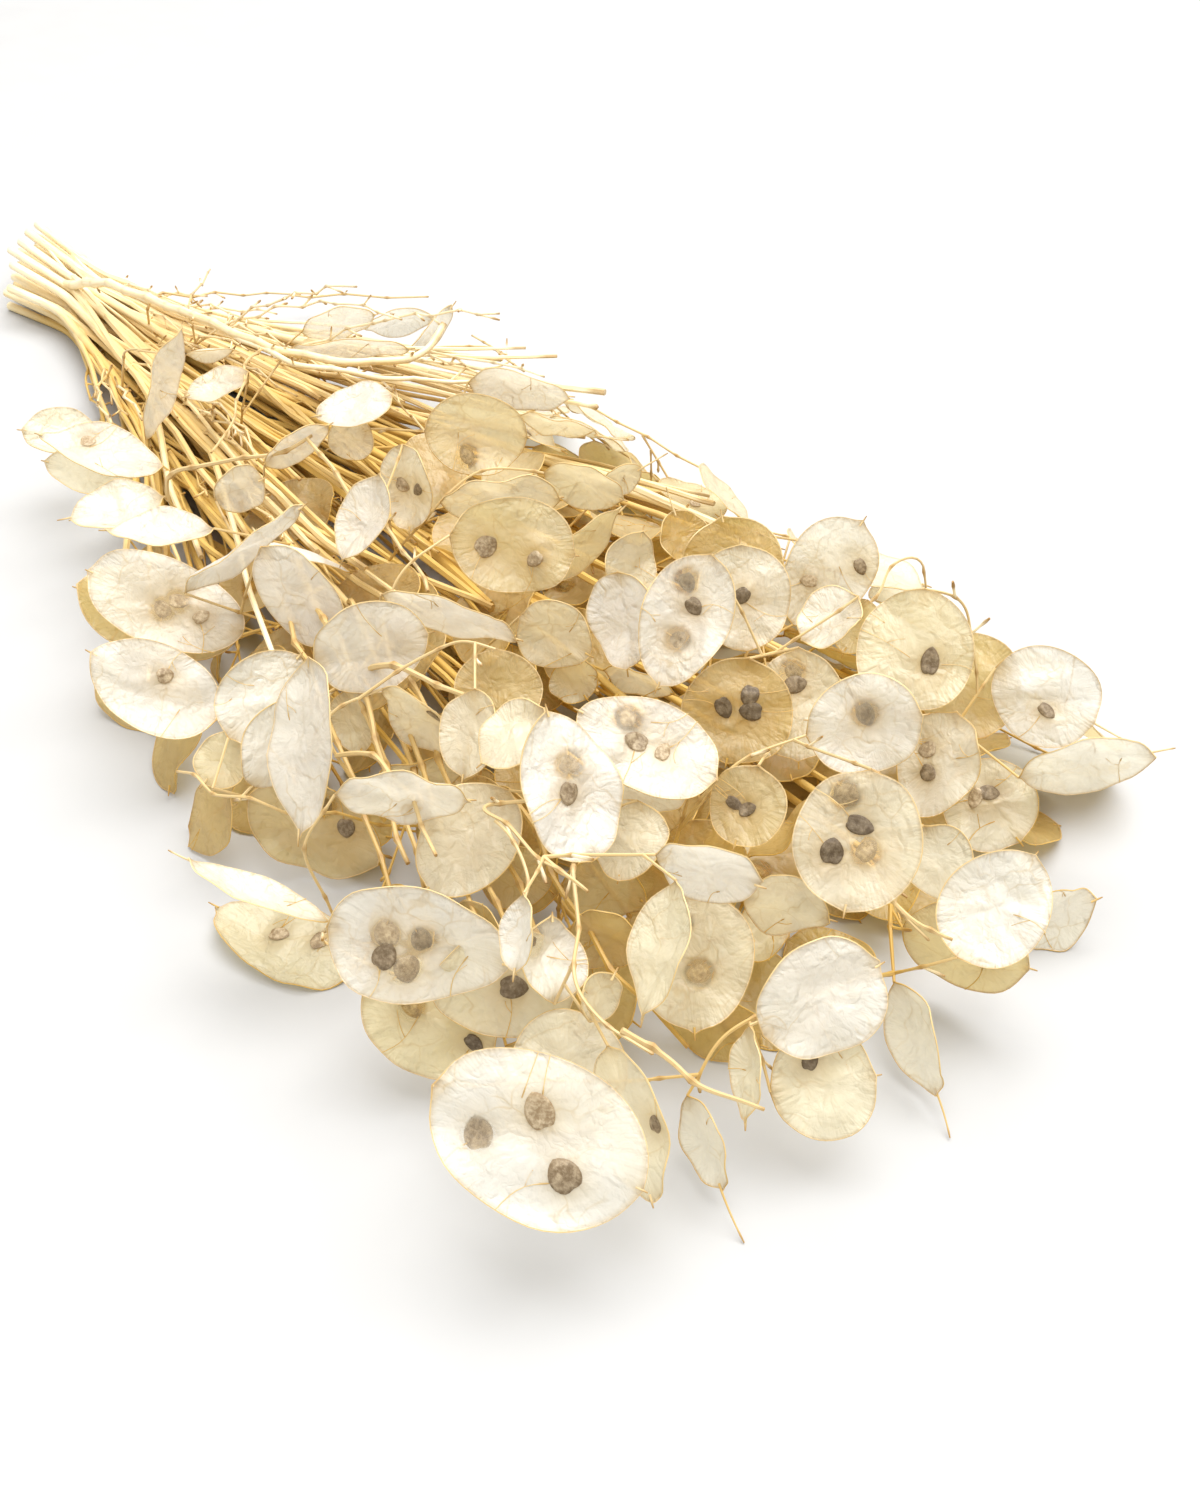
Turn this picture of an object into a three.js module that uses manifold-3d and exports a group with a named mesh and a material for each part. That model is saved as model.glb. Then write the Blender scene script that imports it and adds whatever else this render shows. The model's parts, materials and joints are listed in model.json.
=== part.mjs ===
// A bunch of dried honesty (Lunaria annua) lying on its side: main stems that fan out from a
// narrow waist, forked twigs, and the papery oval walls of the seed pods with their flat seeds.
// Millimetres and degrees. X runs from the cut ends to the tips, Y across the bunch, Z up.

import * as THREE from "three";
import { mergeVertices } from "three/addons/utils/BufferGeometryUtils.js";
import Module from "manifold-3d";

const wasm = await Module();
wasm.setup();

// ---- Sizes ----

const cutX = -403; // where the cut ends lie
const cutSkew = 1.7; // how much further back the far ones lie
const cutStagger = 5; // how unevenly they are cut
const waistX = -351; // where the stems are packed closest
const waistY = 9;
const cutSlant = 0.11; // how the part behind the waist runs off to the side
const stemRadius = 2.3;
const stemTipRadius = 1.1;
const stemPitch = 5.0; // between neighbours at the waist, sideways and from layer to layer
const stemSides = 5;
const layerShift = 0.4; // of that, by which every other layer is moved to the side
const cutSpread = 0.5; // how far the cut ends open again behind the waist
const fanBend = 1.15; // over 1, a stem fans out more towards its tip
const flatRun = 0.2; // share of a bottom stem that lies flat on the table
const evenRun = 0.35; // share of a strand that keeps its full thickness
const bareRun = 0.12; // share of a stem that carries no twigs
const stemWander = 5; // how far a stem strays from its straight line
const stemWaves = [0.8, 1.6];
const shootRadius = 1.2;
const shootTipRadius = 0.75;
const bladeThickness = 0.65;
const podGap = 2.3; // between the middles of two blades
const twigGap = 1.8; // between the middle of a twig and the middle of a blade
const twigRadius = 0.55;
const thickestTwig = 1.1;
const seedRadius = 3.3;
const seedSwell = 0.95;
const seedCorners = 5;
const stemCorner = 20; // points of a path between one corner and the next
const shootCorner = 18;
const twigCorner = 16;
const longTwig = 45; // a twig that reaches further has its corners further apart
const middleOffset = [-135, -5.4]; // X and Y of the middle of the bunch's foot

// Main stems layer by layer from the table up: the way each one leaves the waist, in degrees
// to the side, and how far it reaches from there.
const stemLayers = [
  [[-14, 300], [-9, 415], [-3, 440], [4, 440], [11, 390]],
  [[-15, 230], [-12, 375], [-6, 430], [1, 445], [8, 430], [15, 330]],
  [[-13, 300], [-7, 400], [0, 435], [6, 425], [12, 340], [19, 225]],
  [[-10, 320], [-3, 385], [4, 400], [10, 340], [17, 255]],
];
const layerTipHeight = [8, 18, 29, 40];

// Side shoots, one to a stem: where they leave it, how far they turn and reach, and how much
// they rise.
const shootTries = 16;
const shootLeaves = [0.16, 0.42];
const shootTurns = [4, 15];
const shootLengths = [110, 230];
const shootRises = [-6, 16];
const shootLimit = 105; // no shoot runs on past this, along X or to a side
const lowestShoot = 3;

// Twigs: how many places one may start from, how long it may be, how far it runs straight into
// a pod, and how bowed it may be. Turning back costs more than running on, and so does leaving
// a stem that already carries many.
const twigTries = 300;
const longestTwig = 130;
const twigApproach = 8;
const twigBows = [0.35, 0.15, 0.6];
const turnCost = [1.25, 0.55];
const crowdCost = 0.06;
const twigGrowth = 0.13; // thickness added for each twig that one carries

// ---- The window that the pods are arranged through ----

// The bunch is arranged by eye. The eye looks down at the origin from the side, and a pod is
// placed where it is seen through a window held up in front of the eye.
const lookTurn = 51;
const lookDown = 40;
const eyeAway = 485;
const windowAway = 412;
const windowMiddle = [150, 187.5]; // across and down from its corner

// The mound that the pods cover: its ridge height and its two edges along X.
const moundRidge = [[-351, 26], [-300, 34], [-200, 46], [-100, 57], [0, 63], [80, 60], [130, 44], [168, 6]];
const moundFarEdge = [[-351, 24], [-300, 50], [-220, 95], [-100, 110], [0, 114], [110, 112], [168, 60]];
const moundNearEdge = [
  [-351, -12], [-300, -50], [-230, -78], [-100, -116], [0, -134], [110, -138], [168, -80],
];
const moundTop = 110; // heights between which a sight line is followed
const moundFoot = 8;

// A pod that would touch another is rolled a little and slid along its sight line.
const rollTries = [0, 12, -12, 24, -24];
const slideTries = 50;
const slideStep = 1.5;
const coverLift = 2; // a pod lifted this much more than another is never hidden by it

// Outlines and curves of the pod walls: how pointed the ends are, how much wider the tip half is
// than the base half, and how far the wall curls across and along.
const podForms = {
  round: { point: -0.05, egg: 0.05, cup: 1.0, bend: 1.0, corners: 9 },
  egg: { point: 0.05, egg: -0.14, cup: 1.4, bend: 1.2, corners: 9 },
  leaf: { point: 0.4, egg: -0.1, cup: 2.2, bend: 1.5, corners: 7 },
  bowl: { point: -0.05, egg: 0, cup: 4.5, bend: 2.5, corners: 9 },
};

const onTable = -1000; // stands in the lift column for a pod whose rim touches the table

// Each pod as it is seen through the window: base across and down, tip across and down, true
// width, nod of the tip and roll about its length in degrees, lift off the mound, form, length
// of the style at its tip, and where its seeds show.
const podRows = [
  // nearest, in front of the tips
  [108, 271.3, 160.5, 297.5, 33, 0, 6, 12, "round", 0, [[141.3, 294.3], [135, 278.3], [119.5, 283.8]]],
  [153, 261, 164, 300, 20, 0, 42, 0, "leaf", 0, [[163.8, 281.3]]],
  [157, 271, 126.3, 265, 27, 0, 8, 0, "round", 0, []],
  [173, 273, 181.8, 297.5, 16, 0, 58, onTable, "leaf", 12, []],
  [192.5, 273, 219, 268.8, 26, 0, 10, 0, "round", 0, [[202.5, 265.5]]],
  [188.8, 256.3, 187.8, 281.3, 14, 0, 55, 0, "leaf", 0, []],
  [190.5, 258.8, 220, 240.8, 26, 0, 22, 6, "round", 0, []],
  [224.5, 244.5, 235.8, 273.8, 18, 0, 55, onTable, "leaf", 10, []],
  [225, 231.3, 258.5, 241.8, 26, 0, 35, 0, "egg", 0, [[247, 239.5]]],
  [239.3, 239.5, 258.8, 214, 25, 0, 0, 6, "egg", 0, []],
  [252.5, 233.8, 274.3, 223.8, 20, 0, 45, onTable, "leaf", 0, []],
  [218, 192.5, 211.3, 227.8, 29, 0, 8, 8, "round", 0,
    [[211.5, 198.8], [214.5, 206.3], [208, 213.3], [216.3, 213]]],
  [164.3, 212.5, 190.5, 220.5, 22, 0, 55, 6, "leaf", 0, []],
  [170.3, 220.5, 162, 255, 20, 0, 50, 8, "leaf", 0, []],
  [172.5, 221.5, 173.8, 259.3, 29, 0, 5, 0, "egg", 0, [[175, 243.3], [169.5, 231.3]]],
  [185.5, 222.5, 208.3, 229, 22, 0, 50, 0, "leaf", 0, []],
  [197.5, 235, 183.8, 230, 20, 0, 30, -2, "egg", 0, []],
  [82, 231.3, 127.3, 241, 27, 0, 25, 8, "egg", 0,
    [[96.8, 233.3], [105.5, 235], [96.3, 238.3], [101.8, 241.3]]],
  [90.3, 245.3, 51.8, 226.3, 24, -25, 35, onTable, "egg", 0, [[69.5, 233.5], [80, 236.3]]],
  [81.8, 231.8, 46.3, 216.3, 14, 0, 62, 2, "leaf", 5, []],
  [107, 246.3, 145, 246.3, 27, 0, 25, 0, "round", 0, [[128, 246.3]]],
  [137.5, 251.3, 137, 228.8, 18, 0, 40, 4, "leaf", 0, [[132.5, 235.5]]],
  [132.5, 223.8, 130, 243.8, 14, 0, 62, 8, "leaf", 0, []],
  [90.5, 246.3, 124, 263, 26, 0, 20, -4, "round", 0, [[103, 251.3], [118.8, 261.3]]],
  [146.3, 255, 152.5, 243, 14, 0, 50, 0, "leaf", 0, []],
  // left edge, from the tips back to the waist
  [54, 180.5, 23, 163.8, 25, 0, 15, 4, "egg", 0, [[40.8, 169.5]]],
  [61, 159, 22, 143, 26, 0, 10, 4, "round", 0, [[40.8, 152.5], [44.5, 150.3], [50, 154.5]]],
  [60, 160, 19.5, 147.5, 27, 0, 20, -4, "round", 0, [[60, 145.8]]],
  [45.5, 147.5, 75, 125.8, 18, 0, 66, 10, "leaf", 0, []],
  [53.5, 133.3, 26.5, 133.8, 20, 0, 60, 6, "leaf", 0, []],
  [41.3, 125, 17, 130.5, 20, 0, 42, 2, "leaf", 3, []],
  [40.8, 117.5, 9.5, 109.5, 22, 0, 45, 4, "leaf", 0, [[21.8, 110.5]]],
  [25, 110, 5.5, 108.3, 20, 0, 35, 0, "leaf", 0, []],
  [33.8, 121.3, 11, 116, 18, 0, 30, 0, "leaf", 0, []],
  [35.5, 110, 44.5, 81, 18, 0, 58, 4, "leaf", 0, []],
  [62.5, 93.8, 46.8, 100, 15, 0, 50, 2, "leaf", 0, []],
  [46.3, 88, 58.8, 87.5, 12, 0, 70, 2, "leaf", 0, []],
  [57, 184.5, 75, 163.8, 22, 0, 5, 4, "egg", 0, []],
  [62.5, 196.3, 75, 175, 20, 0, 38, 4, "round", 0, []],
  [78.3, 164.5, 75.8, 208.8, 24, 0, 50, 10, "leaf", 3, []],
  [61.3, 183.8, 51.3, 196.3, 16, 0, 30, -2, "round", 0, []],
  [60.8, 198.3, 97, 216.3, 27, 0, 28, 2, "egg", 0, [[81.3, 200.8], [86.8, 206.3]]],
  [83.8, 197.5, 117.5, 198.8, 22, 0, 58, 8, "leaf", 0, []],
  [128, 197.5, 106.3, 223.8, 25, 0, 22, 4, "egg", 0, []],
  // over the middle of the stems
  [96.3, 171.3, 114.5, 187, 20, 0, 58, 0, "leaf", 0, [[110, 177.5]]],
  [119.5, 172.5, 116.3, 195.3, 18, 0, 38, 0, "egg", 0, []],
  [124.3, 162.5, 125, 186.3, 22, 0, 18, 0, "egg", 0, []],
  [136.3, 178, 121.3, 191.3, 20, 0, 40, 0, "egg", 0, []],
  [78.5, 165, 107, 158, 25, 0, 20, 6, "egg", 0, []],
  [95.8, 147.5, 130, 158.8, 18, 0, 66, 6, "leaf", 0, []],
  [65.5, 136.3, 83.8, 161.3, 23, 0, 12, 5, "round", 0, []],
  [65, 135, 89.3, 141.8, 12, 0, 70, 6, "leaf", 0, []],
  [53.8, 125, 65.5, 119.5, 18, 0, 35, 3, "round", 0, []],
  [65.5, 115.8, 81.8, 105.5, 16, 0, 55, 4, "leaf", 0, []],
  [98.3, 100, 79.5, 105, 20, 0, 50, 2, "leaf", 0, []],
  [93, 107.5, 82.5, 112.5, 15, 0, 15, 0, "egg", 0, []],
  [95.8, 119, 86.3, 141.3, 20, 0, 48, 4, "leaf", 0, []],
  [101.3, 111.3, 103, 133, 20, 0, 40, 3, "egg", 0, [[100, 121.3], [104.5, 122.5]]],
  [106.3, 107.5, 131.8, 108.8, 26, 0, 12, 2, "bowl", 0, [[116.8, 113.8]]],
  [117.5, 95, 142.5, 98.3, 20, 0, 55, 2, "leaf", 0, []],
  [130, 103, 150, 108, 18, 0, 60, 0, "leaf", 10, []],
  [112.5, 133.8, 143.8, 138.8, 27, 0, 12, 2, "round", 0, [[121.3, 137], [133.8, 139.5]]],
  [110, 125, 140, 123.8, 20, 0, 30, 0, "round", 0, []],
  [136.3, 117.5, 156.3, 124.3, 18, 0, 48, 0, "leaf", 0, []],
  [151.3, 121.3, 160, 116.3, 12, 0, 50, 0, "leaf", 9, []],
  [135, 145, 155, 126.3, 20, 0, 50, -2, "leaf", 0, []],
  [75, 82.5, 93.8, 78, 18, 0, 50, 2, "leaf", 0, []],
  [90, 81.3, 108.8, 78.8, 16, 0, 50, 0, "leaf", 0, []],
  [102, 89.5, 112.5, 76, 14, 0, 58, 2, "leaf", 0, []],
  [72.5, 86.3, 102.5, 86.3, 16, 0, 62, 9, "leaf", 0, []],
  [129.8, 153.8, 148, 163.8, 20, 0, 25, 0, "egg", 0, []],
  // the head, from the middle to the right tip
  [147.5, 215.5, 136.3, 178, 24, 0, 24, 8, "egg", 0, [[141.8, 191.3], [142, 198.3]]],
  [179.3, 195.5, 144, 178, 24, 0, 22, 8, "egg", 0, [[156.8, 180], [159.3, 185.8], [165.5, 188.5]]],
  [187.5, 163.8, 181.3, 192, 29, 0, 0, 6, "round", 0, [[180.8, 176.8], [187.5, 173.8], [188, 178]]],
  [178, 138.8, 164.5, 172, 23, 0, 8, 8, "egg", 0, [[171.8, 145.5], [173.3, 151.5], [169.3, 160]]],
  [155, 143, 157.5, 167.5, 22, 0, 36, 2, "egg", 0, []],
  [155.5, 148, 160, 133, 18, 0, 32, 0, "egg", 0, []],
  [186.8, 163, 185, 136.3, 25, 0, 8, 2, "round", 0, [[185.3, 149]]],
  [186.3, 155, 180.5, 129.3, 28, 0, 0, -6, "round", 0, []],
  [172.5, 140, 168, 128, 16, 0, 30, -8, "egg", 7, []],
  [198, 156.3, 215.5, 130.5, 25, 0, 12, 2, "round", 0, [[202.3, 145.3], [214.8, 141.5]]],
  [215, 150, 200, 160, 20, 0, 45, 4, "egg", 0, []],
  [231.3, 147.5, 226.3, 178, 31, 0, 5, 6, "round", 0, [[232.5, 165.8]]],
  [200, 161.3, 200, 191.3, 24, 0, 20, 0, "round", 0, [[198.3, 168], [198.8, 171.3]]],
  [201.5, 183.8, 230.5, 178.8, 25, 0, 10, 6, "round", 0, [[216.3, 178.5]]],
  [240, 177.5, 228.8, 205.5, 24, 0, 25, 2, "egg", 0, [[231.8, 193.3], [232, 187.5]]],
  [246.3, 185, 237.5, 158, 28, 0, 8, -4, "round", 0, []],
  [248.8, 167, 273.8, 181, 26, 0, 5, 2, "round", 9, [[261.5, 177.5]]],
  [254.3, 193.5, 288.3, 187, 22, 0, 50, 2, "leaf", 5, []],
  [239.5, 191.3, 255.5, 211.3, 24, 0, 12, 0, "round", 0, [[244, 199.3], [247, 198.3]]],
  [231.3, 206.3, 238.8, 225, 18, 0, 20, 1, "egg", 0, []],
  [190, 191.3, 183.8, 212, 20, 0, 18, 0, "round", 0, [[183.3, 200.8], [186.5, 202.5]]],
  [160, 200, 155, 220.8, 20, 0, 28, 0, "egg", 0, []],
  [172.5, 200, 150, 193.8, 20, 0, 45, 0, "egg", 0, []],
  [140, 220, 162.5, 225, 18, 0, 35, -4, "egg", 0, []],
  [142.5, 231.3, 160, 238.8, 18, 0, 35, -4, "egg", 0, []],
  [120, 217.5, 138.8, 220, 18, 0, 30, -4, "egg", 0, []],
  [92.5, 197.5, 117.5, 190, 17, 0, 40, -2, "egg", 0, []],
  [86.3, 172.5, 91.3, 188.8, 14, 0, 30, -2, "egg", 0, []],
  [140, 165, 147.5, 175, 16, 0, 30, -2, "egg", 0, []],
  [150.5, 166.3, 170, 173, 16, 0, 62, 0, "leaf", 0, []],
  [217.5, 150, 211.3, 163.8, 16, 0, 30, -4, "egg", 0, []],
];

// Bare branches that show between the pods: from across and down, to across and down, lift off
// the mound and thickness at the start.
const branchRows = [
  [143, 248, 163, 263.5, 4, 1.0],
  [118, 201, 140, 217.5, 6, 0.9],
  [222.5, 225, 232, 235, 4, 0.8],
  [38, 73.8, 75, 73.8, 6, 0.8],
  [75, 73.8, 107, 74.3, 6, 0.7],
  [46, 77.5, 52.5, 67.5, 6, 0.6],
  [61, 201, 44.3, 193, 2, 0.6],
  [30, 88, 37.5, 87.5, 4, 0.8],
  [128, 90, 118, 84, 4, 0.6],
];

// Pods that fill the far side and the inside of the mound are drawn at random. The first few
// lie on the table along the far side, so that the bunch rests steadily.
const fillerCount = 24;
const lowFillers = 4;
const fillerTries = 60;
const fillerSpan = [-170, 125]; // along X
const fillerShares = [-0.8, 0.95]; // of the way to the near edge and to the far edge
const lowShares = [0.7, 0.95];
const fillerDepths = [0.2, 0.95]; // of the mound's height
const fillerHeadings = [-70, 70];
const fillerSlopes = [-0.4, 0.3];
const fillerLengths = [30, 40];
const fillerWidths = [0.68, 0.8]; // of its length
const fillerTurn = 25; // roll about its length, in degrees
const fillerAside = 0.6; // how far it faces along X
const fillerOutward = [-0.4, 1.2]; // how far it faces along Y, on the ridge and more at the edge
const fillerUpward = 0.8;
const roundShare = 0.7; // of the fillers, the others are egg shaped
const seedShare = 0.35; // of the fillers that hold a seed, and how far from its middle
const seedAside = 5;

// ---- Draws ----

let drawSeed = 1871;

function draw() {
  drawSeed = (drawSeed * 16807) % 2147483647;
  return drawSeed / 2147483647;
}

function between(low, high) {
  return low + (high - low) * draw();
}

// ---- Small geometry ----

const up = new THREE.Vector3(0, 0, 1);

function radians(degrees) {
  return degrees * Math.PI / 180;
}

function mix(from, to, share) {
  return from + (to - from) * share;
}

function lookUp(table, x) {
  let last = table[0];
  for (const next of table) {
    if (x <= next[0]) {
      const step = next[0] - last[0];
      return step === 0 ? next[1] : mix(last[1], next[1], (x - last[0]) / step);
    }
    last = next;
  }
  return last[1];
}

// start + first * a + second * b
function blend(start, first, a, second, b) {
  return start.clone().addScaledVector(first, a).addScaledVector(second, b);
}

// ---- The eye and its window ----

const turnSin = Math.sin(radians(lookTurn));
const turnCos = Math.cos(radians(lookTurn));
const downSin = Math.sin(radians(lookDown));
const downCos = Math.cos(radians(lookDown));
const eyeForward = new THREE.Vector3(-turnSin * downCos, turnCos * downCos, -downSin);
const eyeRight = new THREE.Vector3(turnCos, turnSin, 0);
const eyeUp = new THREE.Vector3(-turnSin * downSin, turnCos * downSin, downCos);
const eye = eyeForward.clone().multiplyScalar(-eyeAway);

// the direction in which a place in the window is seen
function sightLine(across, down) {
  const line = eyeForward.clone().multiplyScalar(windowAway);
  line.addScaledVector(eyeRight, across - windowMiddle[0]);
  line.addScaledVector(eyeUp, windowMiddle[1] - down);
  return line.normalize();
}

function moundHeight(x, y) {
  const edge = y > 0 ? lookUp(moundFarEdge, x) : lookUp(moundNearEdge, x);
  const share = Math.min(1, y / edge);
  return lookUp(moundRidge, x) * Math.sqrt(1 - share * share);
}

// how far along a sight line the mound is met, or passed closest
function moundDistance(line) {
  let closest = 0;
  let leastGap = Infinity;
  for (let z = moundTop; z >= moundFoot; z -= 1) {
    const away = (z - eye.z) / line.z;
    const place = eye.clone().addScaledVector(line, away);
    const gap = z - moundHeight(place.x, place.y);
    if (gap < leastGap) {
      leastGap = gap;
      closest = away;
    }
    if (gap <= 0) {
      break;
    }
  }
  return closest;
}

// ---- Pod walls ----

const spokeCount = 12;

// Half the width of a blade at a place along it.
function halfWidth(pod, along) {
  const share = 2 * along / pod.long;
  if (Math.abs(share) >= 1) {
    return 0;
  }
  return pod.wide / 2 * Math.pow(1 - share * share, (1 + pod.point) / 2) * (1 + pod.egg * share);
}

// How far the blade's middle surface lies off its flat plane.
function curl(pod, along, across) {
  const p = 2 * along / pod.long;
  const q = 2 * across / pod.wide;
  return pod.cup * Math.min(q * q, 1) + pod.bend * Math.min(p * p, 1);
}

function onBlade(pod, along, across) {
  const flat = blend(pod.middle, pod.length, along, pod.side, across);
  return flat.addScaledVector(pod.face, curl(pod, along, across));
}

// A point of the outline, or a share of the way out to it.
function outlinePoint(pod, turn, share) {
  const along = pod.long / 2 * Math.cos(turn) * share;
  const full = halfWidth(pod, pod.long / 2 * Math.cos(turn));
  return [along, Math.sign(Math.sin(turn)) * full * share];
}

// The corners of a blade's rim, and the end of the style at its tip.
function rimPoint(pod, corner) {
  return onBlade(pod, ...outlinePoint(pod, 2 * Math.PI * corner / pod.corners, 1));
}

function styleEnd(pod) {
  return onBlade(pod, pod.long / 2, 0).addScaledVector(pod.length, pod.style);
}

// Points of a blade for the tests: its middle, and spokes with a half-way and a rim point.
function bladeSamples(pod) {
  const spokes = [];
  for (let k = 0; k < spokeCount; k += 1) {
    const turn = 2 * Math.PI * k / spokeCount;
    spokes.push([0.5, 1].map((share) => onBlade(pod, ...outlinePoint(pod, turn, share))));
  }
  return spokes;
}

// Where a point lies against a blade: its distance off it, or null beside it.
function offBlade(pod, place, gap) {
  const away = place.clone().sub(pod.middle);
  const along = away.dot(pod.length);
  const across = away.dot(pod.side);
  if (Math.abs(along) > pod.long / 2 + gap || Math.abs(across) > halfWidth(pod, along) + gap) {
    return null;
  }
  return away.dot(pod.face) - curl(pod, along, across);
}

// Whether a line of points comes nearer to a blade than the gap, or passes through it.
function lineMeets(pod, places, gap) {
  let last = null;
  for (const place of places) {
    const off = offBlade(pod, place, gap);
    if (off !== null) {
      if (Math.abs(off) < gap || (last !== null && last * off < 0)) {
        return true;
      }
    }
    last = off;
  }
  return false;
}

function bladeMeets(pod, samples, gap) {
  const middle = samples.middle;
  const rim = samples.spokes.map((spoke) => spoke[1]);
  return samples.spokes.some((spoke) => lineMeets(pod, [middle, ...spoke], gap))
    || lineMeets(pod, [...rim, rim[0]], gap);
}

function podsMeet(one, other) {
  if (one.middle.distanceTo(other.middle) > (one.long + other.long) / 2 + podGap) {
    return false;
  }
  return bladeMeets(one, other.samples, podGap) || bladeMeets(other, one.samples, podGap);
}

// Whether the blade stands behind a place, as the eye sees them, by more than a hair.
function standsBehind(pod, place) {
  const line = place.clone().sub(eye);
  const reach = pod.middle.clone().sub(eye).dot(pod.face) / line.dot(pod.face);
  const hit = eye.clone().addScaledVector(line, reach).sub(pod.middle);
  const along = hit.dot(pod.length);
  return Math.abs(along) < pod.long / 2 && Math.abs(hit.dot(pod.side)) < halfWidth(pod, along)
    ? reach - 1 : null;
}

// Whether any part of the second pod is seen in front of the first.
function covers(front, back) {
  const own = (samples) => samples.spokes.map((spoke) => spoke[1]).concat(samples.middle);
  return own(back.samples).some((place) => standsBehind(front, place) > 0)
    || own(front.samples).some((place) => standsBehind(back, place) < 0);
}

// The lowest height of a pod, its style and the end of its twig.
function lowestPoint(pod) {
  const base = onBlade(pod, -pod.long / 2, 0);
  const heights = [base.z - twigRadius, styleEnd(pod).z - (pod.style > 0 ? twigRadius : 0)];
  for (let corner = 0; corner < pod.corners; corner += 1) {
    heights.push(rimPoint(pod, corner).z);
  }
  return Math.min(...heights) - Math.abs(pod.face.z) * bladeThickness / 2;
}

function takeSamples(pod) {
  pod.samples = { middle: pod.middle.clone(), spokes: bladeSamples(pod) };
}

function moveTo(pod, middle) {
  pod.middle = middle;
  takeSamples(pod);
}

// ---- Main stems and side shoots ----

// A strand is a stem, a shoot or a twig: closely spaced points with a radius at each. It is
// straight between its corners, which are some of those points.
const strands = [];
const strandStep = 3;
const strandGap = 1;

function stemPath(layer, slot, count, fan, reach) {
  const side = (slot - (count - 1) / 2 + (layer % 2 - 0.5) * layerShift) * stemPitch;
  const foot = stemRadius * Math.cos(Math.PI / stemSides) + layer * stemPitch;
  const tip = new THREE.Vector3(
    waistX + reach * Math.cos(radians(fan)),
    waistY + reach * Math.sin(radians(fan)),
    layerTipHeight[layer],
  );
  const start = cutX - cutSkew * side + between(-cutStagger, cutStagger);
  const phase = between(0, 1);
  const waves = between(...stemWaves);
  const behind = Math.ceil((waistX - start) / strandStep);
  const ahead = Math.ceil((tip.x - waistX) / strandStep);
  const path = [];
  for (let k = 0; k < behind; k += 1) {
    const share = 1 - k / behind;
    const open = 1 + cutSpread * share;
    const y = waistY + cutSlant * (start - waistX) * share + side * open;
    path.push(new THREE.Vector3(mix(waistX, start, share), y, layer === 0 ? foot : foot * (1 + open) / 2));
  }
  for (let k = 0; k <= ahead; k += 1) {
    const share = k / ahead;
    const stray = stemWander * share * (1 - share / 2) * Math.sin(2 * Math.PI * (waves * share + phase));
    const lift = Math.max(0, share - flatRun) / (1 - flatRun);
    const y = mix(waistY + side, tip.y, Math.pow(share, fanBend)) + stray;
    path.push(new THREE.Vector3(waistX + strandStep * k, y, mix(foot, tip.z, lift)));
  }
  return { path, behind };
}

// The same points moved onto straight runs between the corners.
function straighten(path, corners) {
  return path.map((place, k) => {
    const next = corners.findIndex((corner) => corner >= k);
    if (corners[next] === k) {
      return place.clone();
    }
    const last = corners[next - 1];
    return path[last].clone().lerp(path[corners[next]], (k - last) / (corners[next] - last));
  });
}

// Corners from a first point on, with no more than so many points between them.
function cornersOf(first, last, spacing) {
  const count = Math.max(1, Math.round((last - first) / spacing));
  const corners = [];
  for (let k = 0; k <= count; k += 1) {
    corners.push(first + Math.round((last - first) * k / count));
  }
  return corners;
}

function addStrand(stem, { path, corners }, thick, thin, parent) {
  const radii = path.map((place, k) => {
    const share = Math.max(0, k / (path.length - 1) - evenRun) / (1 - evenRun);
    return mix(thick, thin, share);
  });
  const strand = { stem, path, corners, radii, parent, carried: 1 };
  strands.push(strand);
  return strand;
}

function strandsMeet(stem, path, radius, gap) {
  for (const strand of strands) {
    if (strand.stem === stem) {
      continue;
    }
    for (let k = 0; k < strand.path.length; k += 1) {
      const reach = strand.radii[k] + radius + gap;
      for (const place of path) {
        if (place.distanceToSquared(strand.path[k]) < reach * reach) {
          return true;
        }
      }
    }
  }
  return false;
}

// A path that leaves and arrives the given ways, with corners so many points apart.
function curvePath(from, fromWay, toWay, to, spacing) {
  const curve = new THREE.CubicBezierCurve3(from, from.clone().add(fromWay), to.clone().sub(toWay), to);
  const steps = Math.max(3, Math.ceil(from.distanceTo(to) / strandStep));
  const path = [];
  for (let k = 0; k <= steps; k += 1) {
    path.push(curve.getPoint(k / steps));
  }
  const corners = cornersOf(0, steps, spacing);
  return { path: straighten(path, corners), corners };
}

function wayAt(path, k) {
  const next = Math.min(k + 1, path.length - 1);
  const last = Math.max(k - 1, 0);
  return path[next].clone().sub(path[last]).normalize();
}

// A side shoot leaves its stem part of the way along and runs on beside it.
function addShoot(stem, parent) {
  for (let tries = 0; tries < shootTries; tries += 1) {
    const leave = Math.floor(parent.path.length * between(...shootLeaves));
    const from = parent.path[leave];
    const way = wayAt(parent.path, leave);
    const turn = radians(between(...shootTurns)) * (draw() < 0.5 ? -1 : 1);
    const length = between(...shootLengths);
    const heading = way.clone().applyAxisAngle(up, turn);
    const to = from.clone().addScaledVector(heading, length);
    to.z = from.z + between(...shootRises);
    const course = curvePath(
      from, way.multiplyScalar(length / 3), heading.multiplyScalar(length / 3), to, shootCorner,
    );
    const outside = to.z < lowestShoot || to.x > shootLimit || Math.abs(to.y) > shootLimit;
    if (!outside && !strandsMeet(stem, course.path, shootRadius, strandGap)) {
      addStrand(stem, course, shootRadius, shootTipRadius, parent);
      return;
    }
  }
}

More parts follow.
